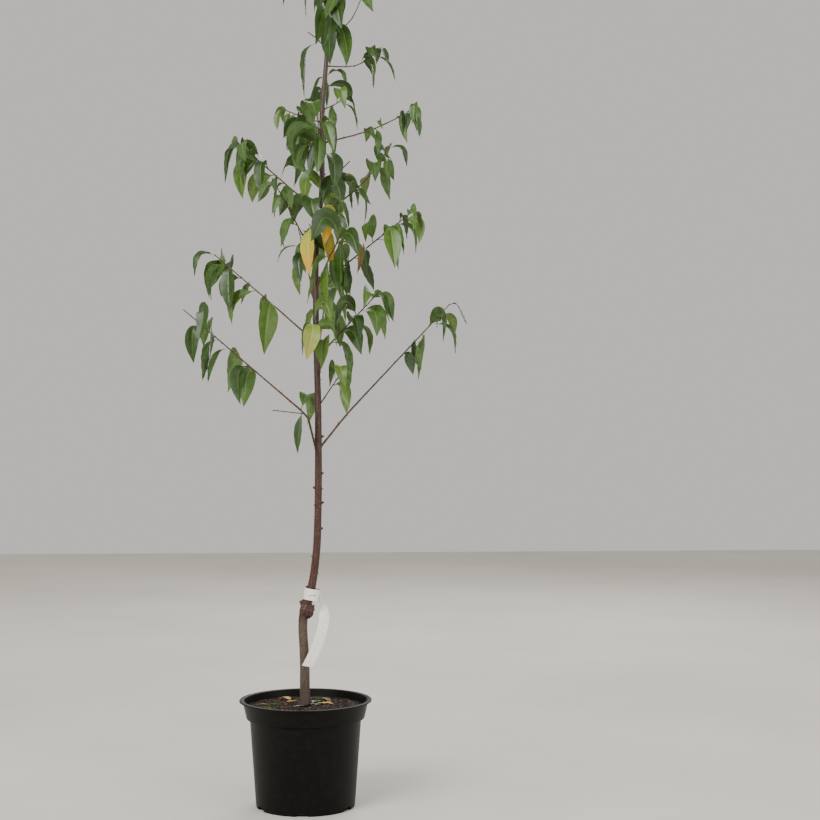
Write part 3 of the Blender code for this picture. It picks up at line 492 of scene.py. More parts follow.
# Stage: the camera, and each light's name, place, size and power
FLOOR_HALF = 6.0
SKY = (0.86, 0.84, 0.80, 1.0)
CAMERA_PLACE = (0.0, -3.6, 0.857)
CAMERA_DIP = 0.31
CAMERA_TURN = 3.52
CAMERA_SENSOR = 36.0
LIT_SPOT = Vector((0.0, 0.0, 0.95))
LIGHTS = (
    ("Key light", (-2.6, -3.4, 3.4), (2.6, 2.6), 250.0),
    ("Fill light", (3.2, -2.6, 2.2), (3.0, 3.0), 70.0),
    ("Rim light", (1.2, 3.4, 3.0), (2.4, 2.4), 90.0),
)


# Small helpers
def ease(share):
    """Go smoothly from 0 to 1 as share does."""
    share = min(max(share, 0.0), 1.0)
    return share * share * (3.0 - 2.0 * share)


def heading(azimuth, rise):
    """Give the direction with this azimuth and rise."""
    level = math.cos(math.radians(rise))
    return Vector((
        level * math.cos(math.radians(azimuth)),
        level * math.sin(math.radians(azimuth)),
        math.sin(math.radians(rise)),
    ))


def across(direction, turn):
    """Give the direction square to another, turned round it by turn degrees."""
    side = direction.cross(UP)
    if side.length < 1e-4:
        side = Vector((1.0, 0.0, 0.0))
    return Matrix.Rotation(math.radians(turn), 3, direction) @ side.normalized()


# Growth rule
def trunk_at(height):
    """Give the trunk's centre and diameter at a height, on a smooth curve through its stations."""
    last = len(TRUNK) - 2
    index = 0
    while index < last and height > TRUNK[index + 1].height:
        index += 1
    low, high = TRUNK[index], TRUNK[index + 1]
    before, after = TRUNK[max(index - 1, 0)], TRUNK[min(index + 2, last + 1)]
    span = high.height - low.height
    share = (height - low.height) / span

    def curve(name):
        start, end = getattr(low, name), getattr(high, name)
        leave = (end - getattr(before, name)) / (high.height - before.height) * span
        arrive = (getattr(after, name) - start) / (after.height - low.height) * span
        rest = 1.0 - share
        return (
            start * rest * rest * (1.0 + 2.0 * share) + end * share * share * (3.0 - 2.0 * share)
            + leave * share * rest * rest - arrive * share * share * rest
        )

    return Vector((curve("x"), curve("y"), height)), curve("diameter")


def shoot_course(shoot):
    """Give the points and directions of a shoot, a step apart, from the trunk's centre line."""
    point = trunk_at(shoot.height)[0]
    count = math.ceil(shoot.length / TWIG_STEP)
    step = shoot.length / count
    points, directions = [point], []
    for index in range(count):
        run = (index + 0.5) * step
        turned = ease((run - shoot.turn_at) / shoot.turn_over)
        sway = ZIGZAG * math.sin(math.pi * run / NODE_SPACING)
        azimuth = shoot.azimuth + shoot.sweep * run / shoot.length + sway
        rise = shoot.rise + (shoot.tip_rise - shoot.rise) * turned
        directions.append(heading(azimuth, rise))
        points.append(points[-1] + directions[-1] * step)
    directions.append(directions[-1])
    return points, directions


def course_at(course, run):
    """Give the point and direction at a run along a course of points."""
    points = course[0]
    left = run
    for index in range(len(points) - 1):
        leg = points[index + 1] - points[index]
        if left <= leg.length or index == len(points) - 2:
            return points[index] + leg.normalized() * left, leg.normalized()
        left -= leg.length


def shoot_radius(shoot, run):
    """Give a shoot's radius at a run along it."""
    share = run / shoot.length
    return (shoot.foot * (1.0 - share) + TWIG_TIP * share) / 2.0


def make_leaf(root, start, length, draw):
    """Grow a leaf that sets off along start, bends over and hangs."""
    droop = draw.uniform(0.65, 1.0)
    bend = draw.uniform(0.25, 0.9)
    curl = draw.uniform(-0.35, 0.35)
    sweep = draw.uniform(-0.35, 0.25)
    roll = draw.uniform(-80.0, 80.0)
    twist = draw.uniform(-30.0, 30.0)
    fold = draw.uniform(12.0, 36.0)
    width = length * LEAF_WIDTH * draw.uniform(0.85, 1.12)
    outward = Vector((start.x, start.y, 0.0))
    side = start.cross(UP).normalized()
    points, directions, normals = [root.copy()], [], []
    for index in range(LEAF_STEPS):
        share = (index + 0.5) / LEAF_STEPS
        hang = droop * ease(share / bend)
        way = start.lerp(DOWN, hang) + side * (curl * share) + outward * (sweep * share * share)
        way.normalize()
        turned = Matrix.Rotation(math.radians(roll + twist * share), 3, way)
        directions.append(way)
        normals.append(turned @ side.cross(way).normalized())
        points.append(points[-1] + way * (length / LEAF_STEPS))
    directions.append(directions[-1])
    normals.append(normals[-1])
    return Leaf(points, directions, normals, length, width, fold)


def leaf_at(leaf, share):
    """Give the point, direction and normal at a share of a leaf's length."""
    place = min(share, 1.0) * LEAF_STEPS
    index = min(int(place), LEAF_STEPS - 1)
    point = leaf.course[index].lerp(leaf.course[index + 1], place - index)
    return point, leaf.directions[index], leaf.normals[index]


def leaf_rings(leaf, extra=0.0):
    """Give a leaf's rings of four corners, right edge first, as a folded blade with a midrib."""
    rings = []
    for share, spread in LEAF_RINGS:
        point, way, normal = leaf_at(leaf, share)
        side = normal.cross(way)
        half = max(leaf.width / 2.0 * spread, LEAF_ROOT_RADIUS) + extra
        thick = max(leaf.length * LEAF_THICKNESS / 2.0, LEAF_ROOT_RADIUS) + extra
        fold = math.radians(leaf.fold) if spread else 0.0
        edge, lift = half * math.cos(fold), half * math.sin(fold)
        rings.append((
            point + side * edge + normal * lift,
            point + normal * thick,
            point - side * edge + normal * lift,
            point - normal * thick,
        ))
    return rings


def leaf_tree(leaf, from_ring=0):
    """Give a search tree of a leaf's surface with its clearance, to test what it touches."""
    rings = leaf_rings(leaf, LEAF_CLEARANCE)[from_ring:]
    root = leaf.course[0] if from_ring == 0 else sum(rings[0], Vector()) / 4.0
    corners = [root, *(corner for ring in rings for corner in ring), leaf.course[-1]]
    last = len(corners) - 1
    faces = []
    for index in range(4):
        following = (index + 1) % 4
        faces.append((0, 1 + following, 1 + index))
        faces.append((last, last - 4 + index, last - 4 + following))
        for ring in range(len(rings) - 1):
            low = 1 + 4 * ring
            faces.append((low + index, low + following, low + 4 + following, low + 4 + index))
    return BVHTree.FromPolygons(corners, faces)


def limb_tree(points, radii):
    """Give a search tree of a limb, square in section, with its clearance."""
    corners, faces = [], []
    for index, (point, radius) in enumerate(zip(points, radii)):
        way = points[min(index + 1, len(points) - 1)] - points[max(index - 1, 0)]
        for turn in (0.0, 90.0, 180.0, 270.0):
            corners.append(point + across(way.normalized(), turn) * (radius + LEAF_CLEARANCE))
    for ring in range(len(points) - 1):
        for index in range(4):
            following = (index + 1) % 4
            low = 4 * ring
            faces.append((low + index, low + following, low + 4 + following, low + 4 + index))
    return BVHTree.FromPolygons(corners, faces)


class Plant:
    """What has grown so far: limbs and leaves, each with the name of the shoot that carries it."""

    def __init__(self):
        self.taken = []
        self.leaves = defaultdict(list)
        self.spurs = defaultdict(list)
        low, high = TRUNK[0].height, TRUNK[-1].height
        step = (high - low) / TRUNK_PLACES
        spots = [trunk_at(low + step * place) for place in range(TRUNK_PLACES + 1)]
        reach = [spot[1] * TRUNK_REACH for spot in spots]
        self.claim(None, limb_tree([spot[0] for spot in spots], reach))

    def claim(self, owner, tree):
        """Keep a limb's or a leaf's space from what grows later."""
        self.taken.append((owner, tree))

    def is_clear(self, owner, leaf):
        """Say whether a leaf touches nothing, apart from where it leaves its own twig."""
        whole = leaf_tree(leaf)
        blade = leaf_tree(leaf, 1)
        return not any(
            tree.overlap(blade if name == owner else whole) for name, tree in self.taken
        )

    def add_limb(self, shoot, course):
        """Claim a shoot's wood: its bough from every leaf, the rest from other shoots' leaves."""
        runs = [shoot.length * place / SHOOT_PLACES for place in range(1, SHOOT_PLACES + 1)]
        bough = [shoot.bough * place / SHOOT_PLACES for place in range(SHOOT_PLACES + 1)]
        for owner, places in ((shoot.name, runs), (None, bough if shoot.bough else [])):
            points = [course_at(course, run)[0] for run in places]
            self.claim(owner, limb_tree(points, [shoot_radius(shoot, run) for run in places]))

    def add_spray(self, shoot, course, spray):
        """Grow one spray by its seed, and leave out each leaf that finds no clear place."""
        draw = random.Random(spray.seed)
        turn = draw.uniform(0.0, 360.0)
        if spray.spur:
            point, way = course_at(course, spray.start)
            lean = draw.uniform(30.0, 50.0)
            side = across(way, turn)
            start = way * math.cos(math.radians(lean)) + side * math.sin(math.radians(lean))
            course = ([point, point + start * spray.spur], [start, start])
            self.spurs[shoot.name].append((point, point + start * spray.spur))
        first, last = spray.start, spray.end
        if spray.spur:
            first, last = SPUR_BARE_SHARE * spray.spur, spray.spur
        for index in range(spray.leaves):
            share = (index + draw.uniform(0.2, 0.8)) / spray.leaves
            root, way = course_at(course, first + (last - first) * share)
            length = spray.leaf_length * draw.uniform(0.78, 1.14)
            lean = draw.uniform(35.0, 75.0)
            seed = draw.random()
            for attempt in range(LEAF_TRIES):
                side = across(way, turn + attempt * TURN_BETWEEN_TRIES)
                start = way * math.cos(math.radians(lean)) + side * math.sin(math.radians(lean))
                leaf = make_leaf(root, start, length, random.Random(seed + attempt))
                if self.is_clear(shoot.name, leaf):
                    self.leaves[shoot.name].append(leaf)
                    self.claim(shoot.name, leaf_tree(leaf))
                    break
            turn += TURN_BETWEEN_LEAVES


def grow_plant():
    """Grow every shoot's leaves, limbs first, so that no leaf is in a limb's way."""
    plant = Plant()
    courses = {shoot.name: shoot_course(shoot) for shoot in (*SHOOTS, LEADER)}
    for shoot in (*SHOOTS, LEADER):
        plant.add_limb(shoot, courses[shoot.name])
    for shoot in (*SHOOTS, LEADER):
        for spray in shoot.sprays:
            plant.add_spray(shoot, courses[shoot.name], spray)
    return plant, courses


# Modelling
def mesh_from(bm, name):
    """Turn a bmesh into a mesh and free it."""
    mesh = bpy.data.meshes.new(name)
    bm.to_mesh(mesh)
    bm.free()
    return mesh


def link(name, data):
    """Put a new object in the scene."""
    item = bpy.data.objects.new(name, data)
    bpy.context.scene.collection.objects.link(item)
    return item


def add_piece(name, bm, materials, nodes=()):
    """Put a finished mesh in the scene, riding on the plant, with its materials."""
    for face in bm.faces:
        face.smooth = True
    mesh = mesh_from(bm, name)
    for material in materials:
        mesh.materials.append(material)
    piece = link(name, mesh)
    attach(piece, BODY)
    if nodes:
        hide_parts(*nodes)
    return piece


def keep_edges_sharp(piece):
    """Mark the edges of a moulding where its faces meet at a wide angle."""
    bm = bmesh.new()
    bm.from_mesh(piece.data)
    for edge in bm.edges:
        if len(edge.link_faces) == 2 and edge.calc_face_angle() > MOULDED_FOLD:
            edge.smooth = False
    bm.to_mesh(piece.data)
    bm.free()


def nodes_of(prefix):
    """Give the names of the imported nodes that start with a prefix."""
    return sorted(name for name in frame["nodes"] if name.startswith(prefix))


def add_to(bm, other, material=None):
    """Add one bmesh to another, with a material index, and free it."""
    if material is not None:
        for face in other.faces:
            face.material_index = material
    mesh = mesh_from(other, "adding")
    bm.from_mesh(mesh)
    bpy.data.meshes.remove(mesh)


def add_shaped(bm, shape, matrix, material):
    """Add a unit shape to a mesh by the matrix that sizes and places it."""
    bmesh.ops.transform(shape, matrix=matrix, verts=shape.verts)
    add_to(bm, shape, material)


def add_tube(bm, points, radii, sides, relief=None):
    """Wrap a grid round a course as a closed tube, whose radius a relief may change."""
    tube = bmesh.new()
    last = len(points) - 1
    bmesh.ops.create_grid(tube, x_segments=last, y_segments=sides, size=1.0)
    ways, fronts = [], []
    for index in range(last + 1):
        way = (points[min(index + 1, last)] - points[max(index - 1, 0)]).normalized()
        front = fronts[-1] if fronts else across(way, 0.0)
        ways.append(way)
        fronts.append((front - way * front.dot(way)).normalized())
    for vertex in tube.verts:
        index = round((vertex.co.x + 1.0) / 2.0 * last)
        turn = (vertex.co.y + 1.0) * math.pi
        way, front = ways[index], fronts[index]
        out = front * math.cos(turn) + way.cross(front) * math.sin(turn)
        place = points[index] + out * radii[index]
        if relief:
            place += out * relief(place, out)
        vertex.co = place
    bmesh.ops.remove_doubles(tube, verts=tube.verts, dist=1e-6)
    bmesh.ops.holes_fill(tube, edges=[edge for edge in tube.edges if edge.is_boundary])
    bmesh.ops.recalc_face_normals(tube, faces=tube.faces)
    add_to(bm, tube, 0)


def spun(outline, steps):
    """Spin an outline of radii and heights round the upright axis into a closed shape."""
    bm = bmesh.new()
    corners = [bm.verts.new((radius, 0.0, height)) for radius, height in outline]
    edges = [bm.edges.new(pair) for pair in zip(corners, corners[1:])]
    bmesh.ops.spin(
        bm, geom=corners + edges, cent=(0, 0, 0), axis=(0, 0, 1), angle=2.0 * math.pi,
        steps=steps, use_merge=True,
    )
    bmesh.ops.remove_doubles(bm, verts=bm.verts, dist=1e-6)
    bmesh.ops.recalc_face_normals(bm, faces=bm.faces)
    return bm


def thicken(bm, thickness):
    """Turn an open sheet's faces alike and give it its thickness."""
    bmesh.ops.recalc_face_normals(bm, faces=bm.faces)
    bm.normal_update()
    bmesh.ops.solidify(bm, geom=bm.faces[:], thickness=thickness)


def unit_ball(subdivisions=1):
    """Start a ball of radius 1."""
    ball = bmesh.new()
    bmesh.ops.create_icosphere(ball, subdivisions=subdivisions, radius=1.0)
    return ball


def rough_ball(draw, least, most):
    """Make a ball whose corners stand between two radii."""
    ball = unit_ball()
    for vertex in ball.verts:
        vertex.co *= draw.uniform(least, most)
    return ball


def aimed(place, way, size):
    """Give the matrix that puts a unit shape at a place, with its Z along a way and this size."""
    turned = way.to_track_quat("Z", "Y").to_matrix().to_4x4()
    return Matrix.Translation(place) @ turned @ Matrix.Diagonal((*size, 1.0))


def add_bud(bm, place, way, length):
    """Add a small pointed bud that sits on the wood."""
    bud = unit_ball()
    for vertex in bud.verts:
        taper = 1.0 - 0.55 * max(vertex.co.z, 0.0)
        vertex.co.x *= taper
        vertex.co.y *= taper
    size = (length * BUD_WIDTH, length * BUD_WIDTH, length / 2.0)
    add_shaped(bm, bud, aimed(place + way * length * 0.3, way, size), 1)


def smooth_course(points, share):
    """Give the point and direction at a share of a smooth curve through a few points."""
    place = min(max(share, 0.0), 1.0) * (len(points) - 1)
    index = min(int(place), len(points) - 2)
    local = place - index
    before = points[max(index - 1, 0)]
    start, end = points[index], points[index + 1]
    after = points[min(index + 2, len(points) - 1)]
    leave, arrive = (end - before) / 2.0, (after - start) / 2.0
    square, cube = local * local, local ** 3
    point = (
        start * (2.0 * cube - 3.0 * square + 1.0) + leave * (cube - 2.0 * square + local)
        + end * (3.0 * square - 2.0 * cube) + arrive * (cube - square)
    )
    way = (
        (start - end) * (6.0 * square - 6.0 * local)
        + leave * (3.0 * square - 4.0 * local + 1.0) + arrive * (3.0 * square - 2.0 * local)
    )
    return point, way.normalized()


# Materials
def linear(colour):
    """Turn an sRGB hex colour into linear red, green and blue, with full cover."""
    values = [int(colour[index:index + 2], 16) / 255.0 for index in (1, 3, 5)]
    return (*(v / 12.92 if v <= 0.04045 else ((v + 0.055) / 1.055) ** 2.4 for v in values), 1.0)


def add_node(tree, kind, values=None, links=None, output=0, **settings):
    """Add a node with its settings, values and links in, and give one of its outputs."""
    node = tree.nodes.new("ShaderNode" + kind)
    for name, value in settings.items():
        setattr(node, name, value)
    for name, value in (values or {}).items():
        node.inputs[name].default_value = value
    for name, socket in (links or {}).items():
        tree.links.new(socket, node.inputs[name])
    return node.outputs[output]


def set_ramp(ramp, stops):
    """Give a colour ramp its stops: place and hex colour."""
    elements = ramp.node.color_ramp.elements
    while len(elements) < len(stops):
        elements.new(0.5)
    for element, (place, colour) in zip(elements, stops):
        element.position = place
        element.color = linear(colour)


def new_finish(name):
    """Start a material, and give it with its node tree, its shader and the place on the piece."""
    material = bpy.data.materials.new(name)
    material.use_nodes = True
    tree = material.node_tree
    place = add_node(tree, "TexCoord", output="Object")
    return material, tree, tree.nodes["Principled BSDF"], place


def dress(tree, shader, colour, gloss, relief):
    """Link a finish's colour, roughness and relief into its shader."""
    for name, socket in (("Base Color", colour), ("Roughness", gloss), ("Normal", relief)):
        tree.links.new(socket, shader.inputs[name])


def grained(finish, stretch=(1.0, 1.0, 1.0)):
    """Make a finish whose tone, gloss and relief follow its grain."""
    material, tree, shader, place = new_finish(finish.name)
    shader.inputs["IOR"].default_value = GRAINED_IOR
    placed = add_node(tree, "Mapping", {"Scale": stretch}, {"Vector": place})
    tone = add_node(
        tree, "TexNoise",
        {"Scale": 1.0 / (finish.size * MM), "Detail": 8.0, "Roughness": 0.6}, {"Vector": placed},
    )
    ramp = add_node(tree, "ValToRGB", None, {"Fac": tone})
    last = len(finish.tones) - 1
    set_ramp(ramp, [
        (0.30 + 0.40 * index / last, colour) for index, colour in enumerate(finish.tones)
    ])
    gloss = add_node(
        tree, "MapRange", {"To Min": finish.roughness - 0.08, "To Max": finish.roughness + 0.08},
        {"Value": tone},
    )
    bump = add_node(
        tree, "Bump", {"Strength": 0.8, "Distance": finish.depth * MM}, {"Height": tone},
    )
    dress(tree, shader, ramp, gloss, bump)
    return material


def pot_plastic():
    """Make the pot's satin plastic, with weaker highlights than other finishes have."""
    material = grained(POT_PLASTIC)
    shader = material.node_tree.nodes["Principled BSDF"]
    shader.inputs["Specular IOR Level"].default_value = POT_SPECULAR
    return material


def bark_finish():
    """Young bark: smooth, glossy and red-brown with pale lenticels, and grey-brown at its foot."""
    material, tree, shader, place = new_finish("Almond bark")
    up = add_node(tree, "SeparateXYZ", None, {"Vector": place}, "Z")
    streaks = add_node(tree, "Mapping", {"Scale": BARK_STREAKS}, {"Vector": place})
    tone = add_node(
        tree, "TexNoise", {"Scale": 1.0 / (BARK_GRAIN * MM), "Detail": 8.0, "Roughness": 0.62},
        {"Vector": streaks},
    )
    height = add_node(tree, "MapRange", {"From Min": 0.21, "From Max": 1.86}, {"Value": up})
    shifted = add_node(tree, "MapRange", {"To Min": -0.006, "To Max": 0.006}, {"Value": tone})
    level = add_node(tree, "Math", None, {0: height, 1: shifted}, operation="ADD")
    tones = []
    for column in (1, 2):
        tones.append(add_node(tree, "ValToRGB", None, {"Fac": level}))
        set_ramp(tones[-1], [(row[0], row[column]) for row in BARK_TONES])
    mottle = add_node(tree, "MapRange", {"From Min": 0.35, "From Max": 0.68}, {"Value": tone})
    wood = add_node(
        tree, "Mix", None, {"Factor": mottle, COLOUR_A: tones[0], COLOUR_B: tones[1]}, MIXED,
        data_type="RGBA",
    )
    dashes = add_node(tree, "Mapping", {"Scale": LENTICEL_FLATNESS}, {"Vector": place})
    spots = add_node(
        tree, "TexVoronoi", {"Scale": 1.0 / (LENTICEL_SPACING * MM)}, {"Vector": dashes},
    )
    lenticel = add_node(
        tree, "MapRange", {"From Min": 0.10, "From Max": 0.20, "To Min": 1.0, "To Max": 0.0},
        {"Value": spots},
    )
    soft = add_node(tree, "Math", {1: 0.55}, {0: lenticel}, operation="MULTIPLY")
    spotted = add_node(
        tree, "Mix", {COLOUR_B: linear(LENTICEL_TONE)}, {"Factor": soft, COLOUR_A: wood}, MIXED,
        data_type="RGBA",
    )
    gloss = add_node(tree, "MapRange", {"To Min": 0.30, "To Max": 0.55}, {"Value": tone})
    raised = add_node(tree, "Math", None, {0: tone, 1: lenticel}, operation="ADD")
    bump = add_node(tree, "Bump", {"Strength": 0.7, "Distance": 0.25 * MM}, {"Height": raised})
    dress(tree, shader, spotted, gloss, bump)
    return material


def leaf_finish(name, blade, shade, vein, roughness, tip):
    """One side of an almond leaf: waxy, with a pale midrib, fine side veins and an uneven green."""
    material, tree, shader, place = new_finish(name)
    unrolled = add_node(tree, "UVMap", uv_map="leaf")
    spot = add_node(tree, "SeparateXYZ", None, {"Vector": unrolled}).node.outputs
    centred = add_node(tree, "Math", {1: 0.5}, {0: spot["X"]}, operation="SUBTRACT")
    off_rib = add_node(tree, "Math", None, {0: centred}, operation="ABSOLUTE")
    tone = add_node(
        tree, "TexNoise", {"Scale": 1.0 / (LEAF_MOTTLE * MM), "Detail": 6.0, "Roughness": 0.6},
        {"Vector": place},
    )
    mottle = add_node(tree, "MapRange", {"From Min": 0.36, "From Max": 0.66}, {"Value": tone})
    green = add_node(
        tree, "Mix", {COLOUR_A: linear(shade), COLOUR_B: linear(blade)}, {"Factor": mottle}, MIXED,
        data_type="RGBA",
    )
    if tip:
        turned = add_node(
            tree, "MapRange", {"From Min": 0.30, "From Max": 0.95}, {"Value": spot["Y"]},
        )
        green = add_node(
            tree, "Mix", {COLOUR_B: linear(tip)}, {"Factor": turned, COLOUR_A: green}, MIXED,
            data_type="RGBA",
        )
    midrib = add_node(
        tree, "MapRange", {"From Min": 0.020, "From Max": 0.050, "To Min": 1.0, "To Max": 0.0},
        {"Value": off_rib},
    )
    slant = add_node(
        tree, "Math", {1: -VEIN_SLANT}, {0: off_rib, 2: spot["Y"]}, operation="MULTIPLY_ADD",
    )
    rows = add_node(tree, "Math", {1: VEIN_PAIRS}, {0: slant}, operation="MULTIPLY")
    beat = add_node(tree, "Math", {1: 1.0}, {0: rows}, operation="PINGPONG")
    side_veins = add_node(
        tree, "MapRange", {"From Min": 0.03, "From Max": 0.14, "To Min": 0.28, "To Max": 0.0},
        {"Value": beat},
    )
    drawn = add_node(tree, "Math", None, {0: midrib, 1: side_veins}, operation="MAXIMUM")
    soft = add_node(tree, "Math", {1: VEIN_STRENGTH}, {0: drawn}, operation="MULTIPLY")
    veined = add_node(
        tree, "Mix", {COLOUR_B: linear(vein)}, {"Factor": soft, COLOUR_A: green}, MIXED,
        data_type="RGBA",
    )
    gloss = add_node(
        tree, "MapRange", {"To Min": roughness - 0.07, "To Max": roughness + 0.10},
        {"Value": tone},
    )
    bump = add_node(tree, "Bump", {"Strength": 0.3, "Distance": 0.25 * MM}, {"Height": drawn})
    dress(tree, shader, veined, gloss, bump)
    return material


def leaf_finishes(tints, roughness, under_roughness):
    """Make the finishes of each tint's two sides."""
    finishes = []
    for name, blade, shade, under, vein, tip in tints:
        finishes.append(leaf_finish(name + " leaf", blade, shade, vein, roughness, tip))
        finishes.append(
            leaf_finish(name + " leaf underside", under, blade, vein, under_roughness, tip)
        )
    return finishes


# Pieces
def collar_radius(height):
    """Give the radius of the pot's collar outside at a height."""
    return POT_COLLAR_RADIUS + (POT_NECK_RADIUS - POT_COLLAR_RADIUS) * (
        (height - COLLAR_FOOT) / POT_COLLAR_HEIGHT
    )


def build_pot(settings):
    """Spin the pot with its stepped collar and rolled lip, and cut the notches in its foot."""
    pot = link("pot_shell", mesh_from(spun(POT_PROFILE, settings.pot_steps), "pot_shell"))
    cutters = bpy.data.collections.new("Notches")
    bpy.context.scene.collection.children.link(cutters)
    size = Vector((2.0 * NOTCH_DEPTH, NOTCH_WIDTH, 2.0 * NOTCH_HEIGHT))
    for index in range(NOTCH_COUNT):
        turn = math.radians(NOTCH_FIRST + index * 360.0 / NOTCH_COUNT)
        cut = bmesh.new()
        bmesh.ops.create_cube(cut, size=1.0)
        bmesh.ops.scale(cut, vec=size, verts=cut.verts)
        bmesh.ops.translate(cut, vec=(POT_FOOT_RADIUS, 0.0, 0.0), verts=cut.verts)
        bmesh.ops.rotate(
            cut, cent=(0, 0, 0), matrix=Matrix.Rotation(turn, 3, "Z"), verts=cut.verts,
        )
        cutters.objects.link(bpy.data.objects.new("notch", mesh_from(cut, "notch")))
    boolean = pot.modifiers.new("Notches", "BOOLEAN")
    boolean.operand_type = "COLLECTION"
    boolean.collection = cutters
    boolean.solver = "EXACT"
    bpy.context.view_layer.update()
    cut_pot = pot.evaluated_get(bpy.context.evaluated_depsgraph_get())
    bm = bmesh.new()
    bm.from_mesh(bpy.data.meshes.new_from_object(cut_pot))
    for cut in list(cutters.objects):
        bpy.data.objects.remove(cut)
    bpy.data.collections.remove(cutters)
    bpy.data.objects.remove(pot)
    draw = random.Random(COLLAR_DOT_SEED)
    for turn in range(0, 360, COLLAR_DOT_TURN):
        way = heading(turn + COLLAR_DOT_FIRST, 0.0)
        height = COLLAR_DOT_HEIGHT + draw.uniform(-COLLAR_DOT_PLAY, COLLAR_DOT_PLAY)
        place = way * (collar_radius(height) - COLLAR_DOT_SINK) + UP * height
        add_shaped(bm, unit_ball(2), aimed(place, way, COLLAR_DOT_SIZE), 0)
    keep_edges_sharp(add_piece("pot_shell", bm, [pot_plastic()], ["pot"]))


def soil_height(x, y):
    """Give the height of the compost's lumpy top."""
    place = Vector((x, y, 0.0))
    lumps = noise.fractal(place * LUMP_SCALE, 0.9, 2.1, 5)
    grit = noise.fractal(place * GRIT_SCALE, 0.8, 2.0, 3)
    edge = ease((math.hypot(x, y) - SOIL_EDGE_START) / SOIL_EDGE_WIDTH)
    return (
        COMPOST_TOP - COMPOST_CROWN + LUMP_HEIGHT * lumps + GRIT_HEIGHT * grit
        - SOIL_EDGE_DROP * edge
    )


def build_compost(settings):
    """Make the lumpy top of the filling, with crumbs, bark chips and moss strewn on it."""
    reach = collar_radius(COMPOST_TOP - 0.004) - POT_WALL - 2.0 * GAP
    side = [
        (0.0, POT_FLOOR + GAP),
        (POT_FOOT_RADIUS - POT_WALL - POT_EDGE - GAP, POT_FLOOR + GAP),
        (POT_BODY_RADIUS - POT_WALL - 2.0 * GAP, COLLAR_FOOT - POT_STEP),
        (POT_COLLAR_RADIUS - POT_WALL - 2.0 * GAP, COLLAR_FOOT + 0.0004),
    ]
    top = [(reach * (1.0 - ring / SOIL_RINGS), SOIL_BLANK_TOP) for ring in range(SOIL_RINGS + 1)]
    bm = spun(side + top, SOIL_STEPS)
    for vertex in bm.verts:
        if vertex.co.z > SOIL_BLANK_TOP - 0.0005:
            vertex.co.z = soil_height(vertex.co.x, vertex.co.y)
    draw = random.Random(COMPOST_SEED)
    stem = TRUNK[0]
    for _ in range(settings.crumbs):
        radius = CRUMB_REACH * math.sqrt(draw.random())
        turn = draw.uniform(0.0, 2.0 * math.pi)
        x, y = radius * math.cos(turn), radius * math.sin(turn)
        if math.hypot(x - stem.x, y - stem.y) < STEM_ROOM:
            continue
        chip = draw.random() < CHIP_SHARE
        size = draw.uniform(0.0012, 0.0034) * (1.5 if chip else 1.0)
        crumb = rough_ball(draw, 0.7, 1.1)
        way = heading(draw.uniform(0.0, 360.0), draw.uniform(20.0, 90.0))
        flat = draw.uniform(0.25, 0.5) if chip else draw.uniform(0.5, 0.9)
        place = Vector((x, y, soil_height(x, y) + size * 0.12))
        sizes = (size, size * draw.uniform(0.5, 1.0), size * flat)
        add_shaped(bm, crumb, aimed(place, way, sizes), 1 if chip else 0)
    for centre, spread, count in MOSS:
        for _ in range(count):
            x = draw.gauss(centre[0], spread)
            y = draw.gauss(centre[1], spread)
            if math.hypot(x, y) > MOSS_REACH:
                continue
            tuft = rough_ball(draw, 0.6, 1.2)
            size = draw.uniform(0.0008, 0.0020)
            place = Vector((x, y, soil_height(x, y) + size * 0.4))
            add_shaped(bm, tuft, aimed(place, UP, (size, size, size * 0.9)), 2)
    finishes = [grained(finish) for finish in (PEAT, BARK_CHIPS, MOSS_TUFTS)]
    add_piece("compost_top", bm, finishes, ["compost"])


def trunk_relief(place, out):
    """Give the height of the bark's relief: slow swellings and fine ridges along it."""
    slow = noise.noise(Vector((place.x * 40.0, place.y * 40.0, place.z * 22.0)))
    fine = noise.fractal(Vector((out.x * 3.0, out.y * 3.0, place.z * 30.0)), 0.8, 2.0, 4)
    thin = 1.0 - 0.6 * min(max((place.z - 0.4) / 1.4, 0.0), 1.0)
    return (0.00035 * slow + 0.00022 * fine) * thin


def wood_relief(place, out):
    """Give the height of the relief on a twig."""
    return 0.00012 * noise.noise(place * 320.0)


def add_swelling(bm):
    """Add the graft's lumpy swelling, a little flatter at its top."""
    swelling = bmesh.new()
    bmesh.ops.create_uvsphere(swelling, u_segments=48, v_segments=32, radius=1.0)
    for vertex in swelling.verts:
        way = vertex.co.copy()
        lumps = noise.fractal(way * 2.3 + Vector((3.0, 1.0, 7.0)), 0.9, 2.0, 4)
        flat = 1.0 - 0.10 * max(way.z, 0.0)
        vertex.co = GRAFT_CENTRE + Vector(
            value * size * flat * (0.97 + 0.13 * lumps) for value, size in zip(way, GRAFT_HALF_SIZE)
        )
    add_to(bm, swelling, 0)


